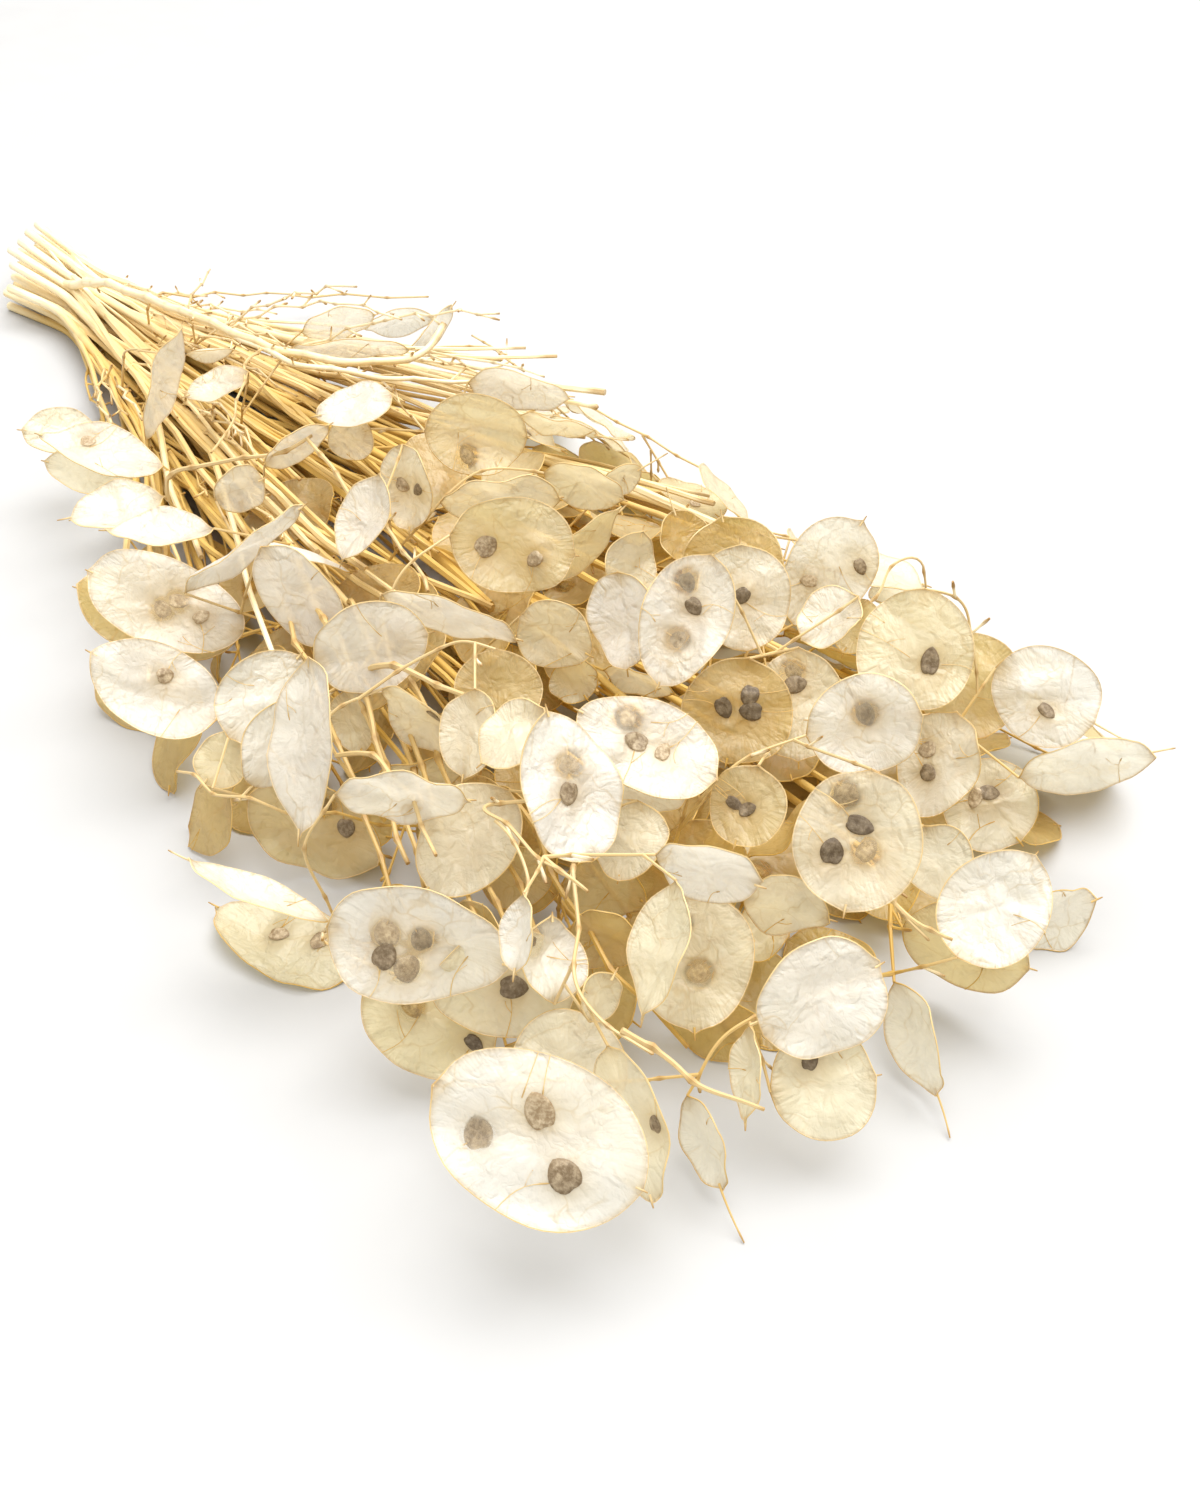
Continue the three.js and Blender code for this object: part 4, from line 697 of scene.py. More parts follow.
def addBranch(row, walls):
    lift, thick = row[4:]
    ends = []
    for across, down in (row[:2], row[2:4]):
        line = sightLine(across, down)
        ends.append((line, moundDistance(line) - lift))
    for tries in range(wall["slideTries"]):
        start, end = [eye + line * (away + slideBy(tries)) for line, away in ends]
        onward = end - start
        steps = math.ceil(math.sqrt(onward @ onward) / bunch["step"])
        share = (np.arange(1, steps + 1) / steps)[:, None]
        if growTwig(start, unit(onward), start + onward * share, walls, thick):
            return


def arrange():
    growStems()
    for row in sorted(podRows, key=lambda row: -row[7]):
        layPod(row)
    seen = list(pods)
    for k in range(fillers["count"]):
        layFiller(seen, k < fillers["low"])
    places = allPoints()[0]
    bases = [onBlade(pod, -pod["long"] / 2, 0) for pod in pods]
    nearest = [lengthOf(places - base).min() for base in bases]
    walls = stacked(pods)
    for row in branchRows:
        addBranch(row, walls)
    for i in np.argsort(nearest, kind="stable"):
        others = {key: np.delete(value, i, 0) for key, value in walls.items()}
        pods[i]["twig"] = growTwig(bases[i], pods[i]["length"], [], others, twigs["radius"])
    for pod in pods:
        if pod["twig"]:
            twig = pod["twig"]
            thick = min(twigs["thickest"], twigs["radius"] + twigs["growth"] * (twig["carried"] - 1))
            share = np.arange(len(twig["path"])) / (len(twig["path"]) - 1)
            twig["radii"] = mix(thick, twigs["radius"], share)


more = {"count": 130, "span": [-175, 105], "shares": [-0.72, 0.85], "depths": [0.1, 0.85],
        "long": [26, 40], "bare": [20, 70, 112, 145],  # where only stems show
        "onTable": 64, "tableShares": [-0.85, 0.9]}


def windowPlace(place):
    away = place - eye
    scale = window["away"] / (away @ eyeForward)
    return window["middle"][0] + away @ eyeRight * scale, window["middle"][1] - away @ eyeUp * scale


def arrangeMore():  # small pods deeper in the bunch, where nothing else hangs
    seen, first = list(pods), len(pods)
    fillers.update(span=more["span"], shares=more["shares"], lowShares=more["tableShares"],
                   depths=more["depths"], lengths=more["long"])
    left, top, right, bottom = more["bare"]
    for k in range(more["count"] + more["onTable"]):
        before = len(pods)
        layFiller(seen, k >= more["count"])
        if len(pods) > before:
            across, down = windowPlace(pods[-1]["middle"])
            if left < across < right and top < down < bottom:
                pods.pop()
    walls = stacked(pods)
    for pod in pods[first:]:
        base = onBlade(pod, -pod["long"] / 2, 0)
        others = {key: np.delete(value, pods.index(pod), 0) for key, value in walls.items()}
        pod["twig"] = growTwig(base, pod["length"], [], others, twigs["radius"])
    pods[first:] = [pod for pod in pods[first:] if pod["twig"]]


arrange()
print("arranged", len(pods), "pods on", len(strands), "strands")
arrangeMore()
print("filled up to", len(pods), "pods on", len(strands), "strands")

fine = random.Random(bunch["seed"])  # for every draw that only gives looks
walls = stacked(pods)
tableLevel = 0.02


def vary(low, high):
    return fine.uniform(low, high)


def inRow(places):  # from the arranging millimetres to the frame's metres
    return (np.asarray(places) - np.array([*bunch["middle"], 0.0])) / 1000


def onlySelect(*pieces):
    bpy.ops.object.select_all(action="DESELECT")
    for piece in pieces:
        piece.select_set(True)
    bpy.context.view_layer.objects.active = pieces[0]


def joined(pieces, name):
    onlySelect(*pieces)
    if len(pieces) > 1:
        bpy.ops.object.join()
    piece = bpy.context.object
    piece.name = piece.data.name = name
    return piece


def editAll():
    bpy.ops.object.mode_set(mode="EDIT")
    bpy.ops.mesh.select_all(action="SELECT")


def setValues(mesh, columns):  # a number or a vector for each point, by name
    for name, values in columns.items():
        kind, field = ("FLOAT_VECTOR", "vector") if values.ndim == 2 else ("FLOAT", "value")
        layer = mesh.attributes.new(name, kind, "POINT")
        layer.data.foreach_set(field, values.astype(np.float32).ravel())


def copied(model, name, places):  # a copy of a model with its own place for each point
    mesh = model.data.copy()
    mesh.vertices.foreach_set("co", inRow(places).astype(np.float32).ravel())
    piece = bpy.data.objects.new(name, mesh)
    bpy.context.collection.objects.link(piece)
    return piece


def hits(path, gap):  # the first point of a path that comes near a pod wall, or None
    off = offBlade(walls, path[None], gap)
    near = (np.abs(off) < gap).any(0)
    through = (off[:, 1:] * off[:, :-1] < 0).any(0)
    near[1:] |= through
    found = np.flatnonzero(near)
    return found[0] if len(found) else None


# Straw: every strand as a round curve, with knobs where side twigs stood.
straw = {
    "fullness": 0.81,  # of the arranged radius, so that the lowest stems lie on the table
    "stemSides": 3, "twigSides": 1, "hairSides": 0,  # bevel resolution
    "stemStep": 3.0, "twigStep": 1.6, "stemRounds": 8, "shootRounds": 5,  # of smoothing
    "twig": 0.35, "twigBrown": 0.28, "carrier": 0.4,  # thinnest, and what carrying more adds
    "crook": 0.5, "crookLength": 15,  # sideways bend of twigs and how long one bend is
    "bareCrook": 3,  # times as much in a twig with no pod
    "stemCrook": 0.4, "shootCrook": 0.8, "stemCrookLength": 60,
    "knob": 1.6, "knobLength": 0.9, "knobBrown": 0.5,
    "scar": 1.18, "scarLength": 3.0, "scarBrown": 0.22, "scarGap": [38, 75],  # leaf scars of a stem
    "rootBrown": 0.3, "rootSwell": 1.2,  # where it leaves its carrier
    "end": 0.25, "endRadii": [1.15, 0.5], "endBrown": [0.7, 0.9],  # a knob at a bare end
    "cut": 0.12, "cutRadius": 0.86, "cutBrown": 0.12,  # a rounded cut
    "lowest": 0.3,  # of a middle line over the table
    "deepFrom": 4, "deepOver": 20,  # painted shade: how far down it starts to darken, and over what depth
    "grainStretch": 0.09, "sharpest": 50,  # edges with a greater angle, in degrees, stay sharp
}


kink = {
    "first": [0.3, 1], "apart": [0.7, 1.3],  # in lengths of one bend
    "tail": 3, "ease": 8,  # no kink in the tail, and smaller ones where a path ends
    "turn": [2.2, 4.0],  # from one bend to the next, in radians
}
fullTurn = 6.3


def smoothed(path, rounds):
    path = path.copy()
    for _ in range(rounds):
        path[1:-1] = (path[:-2] + 2 * path[1:-1] + path[2:]) / 4
    return path


def resampled(path, values, step):
    run = runAlong(path)
    count = max(3, math.ceil(run[-1] / step))
    at = np.linspace(0, run[-1], count + 1)
    places = np.stack([np.interp(at, run, path[:, k]) for k in range(3)], 1)
    return places, np.interp(at, run, values), at


def crossWays(path):  # two directions across a path at each of its points
    ways = unit(np.gradient(path, axis=0))
    steep = np.abs(ways[:, 2]) > 0.9
    helper = np.where(steep[:, None], [[1.0, 0, 0]], [[0, 0, 1.0]])
    side = unit(np.cross(ways, helper))
    return ways, side, np.cross(side, ways)


def crooked(path, at, size, length):  # bends from node to node, none at the ends
    _, side, top = crossWays(path)
    kinks, run = [0], vary(*kink["first"]) * length
    while run < at[-1] - kink["tail"]:
        kinks.append(int(np.argmin(np.abs(at - run))))
        run += vary(*kink["apart"]) * length
    turn, aside = vary(0, fullTurn), [[0.0, 0.0]]
    for k in kinks[1:]:
        ends = min(1, min(at[k], at[-1] - at[k]) / kink["ease"])
        turn += vary(*kink["turn"])
        aside.append([size * ends * math.cos(turn), size * ends * math.sin(turn)])
    where, aside = at[kinks + [len(at) - 1]], np.array(aside + [[0.0, 0.0]])
    across, up = (np.interp(at, where, aside[:, k])[:, None] for k in range(2))
    return path + side * across + top * up, kinks[1:]


lines = {}  # of each stem: fine tubes as dictionaries


def paintedDeepShade(places):  # painted shade: what lies deep in the bunch is coloured darker and more golden, standing in for the light that the straw and walls above take away
    top = np.array([moundHeight(x, y) for x, y in places[:, :2]])
    return np.clip((top - places[:, 2] - straw["deepFrom"]) / straw["deepOver"], 0, 1)


def addLine(stem, places, radii, brown, thick=False, tan=0.0, cyclic=False):
    places = places.copy()
    places[:, 2] = np.maximum(places[:, 2], straw["lowest"] + tableLevel)
    radii = np.minimum(radii, places[:, 2] - tableLevel)
    tan = np.full(len(places), tan)
    lines.setdefault(stem, []).append({
        "places": places, "radii": radii, "brown": brown, "thick": thick, "tan": tan,
        "deep": paintedDeepShade(places), "cyclic": cyclic})


stub = {  # the rest of a broken side twig
    "length": [2.5, 8], "share": 0.45, "turn": [0.6, 1.3], "radius": [0.35, 0.5], "bend": 0.02,
    "form": [1.1, 0.85, 0.8, 1.15, 0.7],  # of its radius, from the root to the tip
    "rootBrown": 0.5, "brown": [0.3, 0.9], "lowest": 0.6, "gap": 0.7,
    "bare": 120,  # how far from the cut ends none stands
}


def addStub(stem, places, k, radius):
    ways, side, top = crossWays(places)
    turn = vary(0, 2 * math.pi)
    out = side[k] * math.cos(turn) + top[k] * math.sin(turn)
    heading = unit(ways[k] + out * vary(*stub["turn"]))
    at = np.linspace(0, vary(*stub["length"]), len(stub["form"]))[:, None]
    path = places[k] + heading * at + np.array([0, 0, 1.0]) * (stub["bend"] * at * at) * vary(-1, 1)
    if path[:, 2].min() < stub["lowest"] or hits(path[1:], stub["gap"]) is not None:
        return
    radii = min(radius, vary(*stub["radius"])) * np.array(stub["form"])
    addLine(stem, path, radii, np.array([stub["rootBrown"], 0, 0, vary(*stub["brown"]), 1.0]))


def knobbed(at, radii, spots, size, width):
    swell = np.zeros(len(at))
    for spot in spots:
        swell = np.maximum(swell, np.exp(-((at - at[spot]) / width) ** 2))
    return radii * (1 + (size - 1) * swell), swell


def drawStrand(strand):
    isMain = strand["parent"] is None
    path = strand["path"].copy()
    if strand["parent"]:
        carrier = strand["parent"]
        left = np.argmin(((carrier["path"] - path[0]) ** 2).sum(1))
        path[0] = carrier["soft"][left]
    strand["soft"] = path = smoothed(path, straw["stemRounds" if isMain else "shootRounds"])
    isTwig = strand["radii"][0] < shoots["radius"]
    step = straw["twigStep"] if isTwig else straw["stemStep"]
    places, radii, at = resampled(path, strand["radii"], step)
    if isTwig:
        crook = straw["crook"] * (1 if strand.get("endsInPod") else straw["bareCrook"])
        places, spots = crooked(places, at, crook, straw["crookLength"])
        places = smoothed(places, 2)
        radii = straw["twig"] + (radii - 0.5) * straw["carrier"]
        radii, swell = knobbed(at, radii, spots, straw["knob"], straw["knobLength"])
        brown = straw["twigBrown"] + swell * straw["knobBrown"]
    else:
        radii = radii * straw["fullness"]
        crook = straw["stemCrook" if isMain else "shootCrook"]
        places, _ = crooked(places, at, crook, straw["stemCrookLength"])
        spots, due = [], vary(*straw["scarGap"])
        for k, run in enumerate(at):
            if run > due and k < len(at) - 3:
                spots.append(k)
                due = run + vary(*straw["scarGap"])
        radii, swell = knobbed(at, radii, spots, straw["scar"], straw["scarLength"])
        brown = swell * straw["scarBrown"]
    for spot in spots:
        if at[spot] > stub["bare"] * isMain and fine.random() < stub["share"]:
            addStub(strand["stem"], places, spot, radii[spot])
    if strand["parent"]:
        brown[:2] = np.maximum(brown[:2], straw["rootBrown"])
        radii[:2] *= straw["rootSwell"]
    if not strand.get("endsInPod"):
        tip = (places[-1] - places[-2]) * straw["end"]
        places = np.concatenate([places, [places[-1] + tip]])
        radii = np.concatenate([radii[:-1], radii[-1] * np.array(straw["endRadii"])])
        brown = np.concatenate([brown[:-1], straw["endBrown"]])
    if isMain:
        start = places[0] - (places[1] - places[0]) * straw["cut"]
        places = np.concatenate([[start], places])
        radii = np.concatenate([[radii[0] * straw["cutRadius"]], radii])
        brown = np.concatenate([[straw["cutBrown"]], brown])
    addLine(strand["stem"], places, radii, brown, thick=not isTwig, tan=0.9 if isTwig else 0)


beside = {  # a thin straw that runs on beside a stem
    "perStem": 11, "length": [110, 260], "start": [0.02, 0.8], "radius": [0.7, 1.9], "taper": 0.6,
    "away": [2, 9], "arch": [1.3, 2.6], "turn": [-11, 11],
    "wave": [0.5, 2.0], "waveTurn": [3, 8], "crook": [0.6, 35],  # how far and how long
    "leastSteps": [20, 16],  # before and after it is cut short
    "rise": 0.8, "lowest": 1.2, "gap": 1.0, "wider": 1.08, "step": 4.0, "endBrown": [0.25, 0.6],
}


def addSideStraws(strand):
    path = strand["soft"]
    for _ in range(beside["perStem"]):
        length = vary(*beside["length"])
        first = int(len(path) * vary(*beside["start"]))
        last = min(len(path) - 1, first + int(length / bunch["step"]))
        if last - first < beside["leastSteps"][0]:
            continue
        piece = path[first:last]
        _, side, top = crossWays(piece)
        turn = vary(0, 2 * math.pi)
        share = np.linspace(0, 1, len(piece))[:, None]
        away = vary(*beside["away"]) * np.sin(share * vary(*beside["arch"]))
        out = side * math.cos(turn) + top * abs(math.sin(turn)) * beside["rise"]
        aside = math.tan(math.radians(vary(*beside["turn"])))
        piece = piece + out * away + side * (aside * share * length)
        wave = vary(*beside["wave"]) * np.sin(share * vary(*beside["waveTurn"]) + vary(0, 6)) * share
        piece = piece + side * wave
        piece[:, 2] = np.maximum(piece[:, 2], beside["lowest"])
        stop = hits(piece[4:], beside["gap"])
        if stop is not None:
            piece = piece[:stop + 3]
        outside = [k for k, (x, y, _) in enumerate(piece) if moundHeight(x, y * beside["wider"]) <= 0]
        if outside:
            piece = piece[:outside[0]]
        if len(piece) < beside["leastSteps"][1]:
            continue
        radius = vary(*beside["radius"])
        radii = np.linspace(radius, radius * beside["taper"], len(piece))
        places, radii, at = resampled(piece, radii, beside["step"])
        places, _ = crooked(places, at, *beside["crook"])
        brown = np.zeros(len(at))
        brown[:2], brown[-2:] = beside["endBrown"]
        addLine(strand["stem"], places, radii, brown)


wisp = {  # a thin forked twig that stands out from a stem
    "perStem": 4, "length": [45, 130], "start": [0.2, 0.62], "turn": [10, 38], "bend": [0.2, 0.9],
    "radius": [0.42, 0.62], "tip": 0.36, "crook": [1.1, 12], "knob": [1.6, 1.1],
    "brown": 0.12, "knobBrown": 0.45, "rootBrown": 0.3, "tipBrown": 0.8,
    "step": 2.0, "leastSteps": 12, "lowest": 0.8, "gap": 0.9, "stubShare": 0.75,
}


def addWisp(strand):
    path = strand["soft"]
    k = int(len(path) * vary(*wisp["start"]))
    ways, side, top = crossWays(path)
    around = vary(0, 2 * math.pi)
    out = side[k] * math.cos(around) + top[k] * abs(math.sin(around))
    turn = math.radians(vary(*wisp["turn"]))
    heading = ways[k] * math.cos(turn) + out * math.sin(turn)
    at = np.arange(0, vary(*wisp["length"]), wisp["step"])
    back = (ways[k] - heading) * (at[:, None] ** 2 / at[-1]) * vary(*wisp["bend"])
    places = path[k] + heading * at[:, None] + back
    places, kinks = crooked(places, at, *wisp["crook"])
    stop = hits(places[3:], wisp["gap"])
    if stop is not None:
        places = places[:stop + 2]
    if len(places) < wisp["leastSteps"] or places[:, 2].min() < wisp["lowest"]:
        return
    kinks = [k for k in kinks if k < len(places) - 2]
    radii = np.linspace(vary(*wisp["radius"]), wisp["tip"], len(places))
    radii, swell = knobbed(at[:len(places)], radii, kinks, *wisp["knob"])
    brown = wisp["brown"] + swell * wisp["knobBrown"]
    brown[-1], brown[0] = wisp["tipBrown"], wisp["rootBrown"]
    addLine(strand["stem"], places, radii, brown)
    for k in kinks:
        if fine.random() < wisp["stubShare"]:
            addStub(strand["stem"], places, k, radii[k])


# Long bare boughs: lift off the mound at the start and the end, radius at both, and what they
# pass in the window. With a lift below zero they lie in the mound.
boughs = [
    [7, 7, 1.9, 1.2, [[30, 72], [51, 80], [67, 87], [87, 91], [102, 90], [108.5, 87], [111, 81]]],
    [4, 4, 1.4, 0.7, [[48, 79], [65, 87], [74.5, 91.5], [87, 93], [99, 95], [118, 95.5]]],
    [4, 4, 0.5, 0.35, [[107, 86.8], [122.5, 86.8], [131, 93]]],
    [7, 7, 0.5, 0.38, [[62, 90], [59.8, 99.3], [58, 107], [52.8, 113.3]]],
    [4, 5, 0.8, 0.5, [[41.8, 117.8], [62, 114.8], [69.8, 113.3], [78, 109]]],
    [6, 7, 0.62, 0.4, [[140, 217.5], [144, 220], [147, 223]]],
    [6, 9, 0.45, 0.32, [[128, 209], [131, 216], [132, 223], [129, 229]]],
    [4, 6, 0.75, 0.45, [[163, 263.5], [170, 265.5], [173.5, 271], [186, 275], [191, 277.5]]],
    [2, 4, 0.6, 0.42, [[220, 220], [222, 223], [225, 227], [230, 233], [238, 235]]],
    [0, 6, 0.9, 0.6, [[100, 167], [110, 171], [122, 178], [128, 186]]],
    [2, 4, 0.7, 0.5, [[84, 118], [88, 126], [97, 133], [104, 141], [107, 148]]],
    [-2, 3, 0.42, 0.34, [[221, 147], [222, 142], [228.5, 138.5], [231, 140], [231.5, 147.5]]],
    [-4, 4, 0.7, 0.45, [[95, 190], [101, 197], [106, 206], [109, 214]]],
    [-16, -18, 0.85, 0.6, [[78, 150], [90, 175], [100, 200], [106, 222]]],
    [-20, -22, 0.8, 0.6, [[88, 150], [98, 176], [104, 196], [112, 224]]],
    [-14, -20, 0.8, 0.55, [[96, 160], [103, 185], [110, 206], [120, 232]]],
    [-18, -22, 0.8, 0.55, [[70, 150], [84, 184], [92, 205], [98, 224]]],
    [-20, -20, 0.8, 0.6, [[104, 170], [112, 196], [122, 222], [130, 240]]],
    [-22, -24, 0.8, 0.6, [[112, 180], [122, 205], [134, 232], [146, 252]]],
    [-12, -16, 0.8, 0.6, [[84, 158], [94, 182], [98, 204], [102, 216]]],
    [-24, -26, 0.8, 0.6, [[130, 200], [142, 226], [156, 246], [172, 262]]],
]
stoutBough = {"before": 40, "crook": 0.5, "knob": 1.15, "brown": 0.08, "knobBrown": 0.2, "tan": 0}
slimBough = {"before": 3, "crook": 0.8, "knob": 1.6, "brown": straw["twigBrown"], "knobBrown": 0.5,
             "tan": 0.9}
bough = {
    "stout": 0.9,  # with a greater radius than this
    "climb": 3,  # rather up in the air than back over the edge
    "crookLength": 14, "knobLength": 1.1, "reach": 0.4, "straight": 1.5, "step": 2.0, "rounds": 8,
    "lowest": 1.5, "endBrown": 0.8, "stubShare": 0.5,
}
grown = []  # stem and path of each bough so far


def addBough(row):
    low, high, thick, thin, passed = row
    isStout = thick > bough["stout"]
    kind = stoutBough if isStout else slimBough
    places, away = [], math.inf
    for k, (across, down) in enumerate(passed):
        line = sightLine(across, down)
        lift = low + (high - low) * k / (len(passed) - 1)
        away = min(moundDistance(line) - lift, away + bough["climb"])
        places.append(eye + line * away)
    places = np.array(places)
    onward = unit(places[1] - places[0])
    approach = places[0] - onward * kind["before"]
    best = None
    for stem, path in [(strand["stem"], strand["soft"][2:-1:2]) for strand in strands] + grown:
        gap = approach - path
        distance = lengthOf(gap)
        cost = distance * (bough["straight"] - gap @ onward / distance)
        k = int(np.argmin(cost))
        if best is None or cost[k] < best[0]:
            best = (cost[k], stem, path[k], distance[k])
    _, stem, root, distance = best
    reach = (distance + kind["before"]) * bough["reach"]
    path, _ = curvePath(root, unit(places[0] - root) * reach, onward * reach, places[0], 3)
    path = np.concatenate([path, places[1:]])
    path, _, at = resampled(path, path[:, 2], bough["step"])
    path = smoothed(path, bough["rounds"])
    path[:, 2] = np.maximum(path[:, 2], bough["lowest"])
    path, kinks = crooked(path, at, kind["crook"], bough["crookLength"])
    radii = np.linspace(thick, thin, len(path))
    radii, swell = knobbed(at, radii, kinks, kind["knob"], bough["knobLength"])
    brown = kind["brown"] + swell * kind["knobBrown"]
    brown[-1] = bough["endBrown"]
    grown.append((stem, path[::2]))
    addLine(stem, path, radii, brown, thick=isStout, tan=kind["tan"])
    for k in kinks:
        if isStout and fine.random() < bough["stubShare"]:
            addStub(stem, path, k, radii[k])


# Pod walls: one papery disc is modelled, then every pod takes a copy in its own shape.
disc = {
    "spokes": 48, "rings": 10, "thickness": 0.3,
    "wobble": 0.019,  # of the outline
    "wave": [0.7, 2.0], "waveLength": [20, 44],  # broad undulation, in millimetres
    "frill": [0.4, 1.7],  # up and down of the rim
    "waveSteps": [1.0, 0.8, 0.6, 0.42, 0.3],  # each wave shorter and lower than the last
    "fold": [0.5, 1.1], "foldWidth": 1.8, "foldReach": [6, 13], "folds": 4,
    "fullWidth": 26,  # a narrower pod has lower waves
    "tip": [0.01, 0.08], "base": [0.01, 0.06],  # how far the two ends are drawn out
    "rimRadius": 0.19, "rimBrown": 0.12, "baseBrown": 0.6,
    "style": [0.8, 2.2], "styleBend": 0.012,
    "styleRadii": [0.3, 0.19], "styleTip": [0.25, 0.16], "styleBrown": [0.6, 0.9],
    "seedStain": [4.6, 1.0], "baseStain": [3.0, 1.0], "tipStain": [2.5, 0.7],  # reach and strength
    "clearing": [4.4, 1.4],  # reach and soft edge of what is clearer in front of a seed
    "dent": [0.25, 14],  # of a seed in its wall
    "held": 0.12,  # share of the length, from the base, that keeps its place
    "pleatTurn": 7, "pleatOut": 1.4,
}


def modelDisc():
    bpy.ops.object.select_all(action="DESELECT")
    bpy.ops.mesh.primitive_circle_add(vertices=disc["spokes"], radius=1, fill_type="NGON")
    editAll()
    for _ in range(disc["rings"] - 1):
        bpy.ops.mesh.inset(thickness=1 / disc["rings"], use_even_offset=True)
    bpy.ops.mesh.poke()
    bpy.ops.object.mode_set(mode="OBJECT")
    return bpy.context.object


def discPlaces(model):  # how far out and which way each point of the disc lies
    points = np.array([vertex.co[:2] for vertex in model.data.vertices])
    out = lengthOf(points)
    order = np.round(out * disc["rings"]) / disc["rings"]
    return np.clip(order, 0, 1), np.arctan2(points[:, 1], points[:, 0])


# The pods' golden tone: mostly painted shade, with walls deeper in the bunch coloured more golden for the
# light the layers above take away, plus some tone by chance.
toneAndDeepShade = {
    "golden": 0.9, "late": 1.5, "vary": 0.1,  # the most, how late it starts with depth, and by chance
    "thinner": 0.6,  # how much less solid the deepest walls are
    "filler": 0.35, "fullDepth": 22,  # least depth of a filler, and how far down it is deepest
    "onTable": 0.3, "lifts": [6, -5],  # tone of a pod on the table; lift of the others at which they stay pale, and at which their painted shade is full
    "near": 6, "given": 0.85,
    "goldens": [  # where in the window a pod is golden (1) or pale (0), whatever its lift
        [185, 182, 1.1], [186, 200, 1.0], [126, 172, 1.1], [120, 106, 0.8], [127, 135, 0.9],
        [229, 162, 0.8], [213, 209, 0.5], [241, 238, 1.0], [68, 232, 0.8], [105, 256, 0.9],
        [78, 207, 1.0], [103, 122, 0.6], [116, 211, 0.7], [170, 240, 0.7], [160, 184, 0],
        [142, 196, 0], [205, 249, 0], [250, 223, 0], [74, 187, 0.1], [40, 170, 0], [216, 182, 0],
        [176, 215, 0], [155, 155, 0], [134, 285, 0], [172, 155, 0.2], [86, 97, 0.1], [25, 112, 0],
        [85, 79, 0], [108, 82, 0], [95, 86, 0], [130, 97, 0], [74, 149, 0.1], [93, 163, 0],
        [257, 177, 0.1],
    ],
}


def depthOf(pod):  # how much golden tone a pod takes: painted shade that grows with depth, or for some pods a listed tone
    if pod["lift"] is None:
        x, y, z = pod["middle"]
        deep = min(1, max(0, (moundHeight(x, y) - z) / toneAndDeepShade["fullDepth"]))
        return mix(toneAndDeepShade["filler"], 1, deep)
    place = np.array(windowPlace(pod["middle"]))
    for across, down, amount in reversed(toneAndDeepShade["goldens"]):
        if np.abs(place - (across, down)).max() < toneAndDeepShade["near"]:
            return amount * toneAndDeepShade["given"]
    if pod["lift"] == onTable:
        return toneAndDeepShade["onTable"]
    high, low = toneAndDeepShade["lifts"]
    return min(1, max(0, 1 - (pod["lift"] - low) / (high - low)))


def formOf(pod):  # the draws that make a pod differ from its neighbours
    waves = []
    for step in disc["waveSteps"]:
        waves.append((vary(0, math.pi), vary(*disc["waveLength"]) * step, vary(0, fullTurn),
                      vary(*disc["wave"]) * step ** 1.4))
    folds = []
    for _ in range(disc["folds"]):
        spot = np.array([vary(-0.25, 0.25) * pod["long"], vary(-0.25, 0.25) * pod["wide"]])
        folds.append((spot, vary(0, math.pi), vary(*disc["fold"]) * fine.choice([-1, 1]),
                      vary(*disc["foldReach"])))
    frills = [(k, vary(0, fullTurn), vary(*disc["frill"]) / (1 + 0.3 * k)) for k in (2, 3, 5, 7)]
    wobbles = [(k, vary(0, fullTurn), vary(0.4, 1.0) * disc["wobble"] / (1 + 0.2 * k)) for k in (2, 3, 5)]
    scale = min(1.0, pod["wide"] / disc["fullWidth"])
    seeds = []
    for seed in pod["seeds"]:
        isDark = len(seed) > 2
        seeds.append({
            "place": np.array(seed[:2], float),
            "face": 1 if isDark or fine.random() > kidney["behind"] else -1,
            "radius": pod["wide"] * vary(*kidney["radius"]), "narrow": vary(*kidney["narrow"]),
            "tone": vary(0, 0.15) if isDark else vary(0.2, 0.95)})
    deep = depthOf(pod)
    # tone: painted shade by depth, plus a little by chance
    tone = min(1, toneAndDeepShade["golden"] * min(1, deep) ** toneAndDeepShade["late"] + vary(0, toneAndDeepShade["vary"]))
    return {"waves": waves, "folds": folds, "frills": frills, "wobbles": wobbles, "scale": scale,
            "seeds": seeds, "tone": tone, "solid": vary(0, 1) * (1 - toneAndDeepShade["thinner"] * deep),
            "offset": vary(0, 900), "tip": vary(*disc["tip"]), "base": vary(*disc["base"])}


def relief(pod, along, across, out, turn):
    form = pod["fine"]
    height = np.zeros_like(along)
    for way, length, phase, size in form["waves"]:
        run = along * math.cos(way) + across * math.sin(way)
        height += size * form["scale"] * np.sin(2 * np.pi * run / length + phase) * 0.6
    for spot, way, size, reach in form["folds"]:
        run = (along - spot[0]) * math.cos(way) + (across - spot[1]) * math.sin(way)
        off = (across - spot[1]) * math.cos(way) - (along - spot[0]) * math.sin(way)
        ridge = np.exp(-np.abs(off) / disc["foldWidth"]) * np.exp(-(run / reach) ** 2)
        height += size * form["scale"] * ridge
    for count, phase, size in form["frills"]:
        height += size * form["scale"] * out ** 3 * np.sin(count * turn + phase)
    for seed in form["seeds"]:
        away = (along - seed["place"][0]) ** 2 + (across - seed["place"][1]) ** 2
        height -= seed["face"] * disc["dent"][0] * np.exp(-away / disc["dent"][1])
    return height * np.clip((along / pod["long"] + 0.5) / disc["held"], 0, 1)


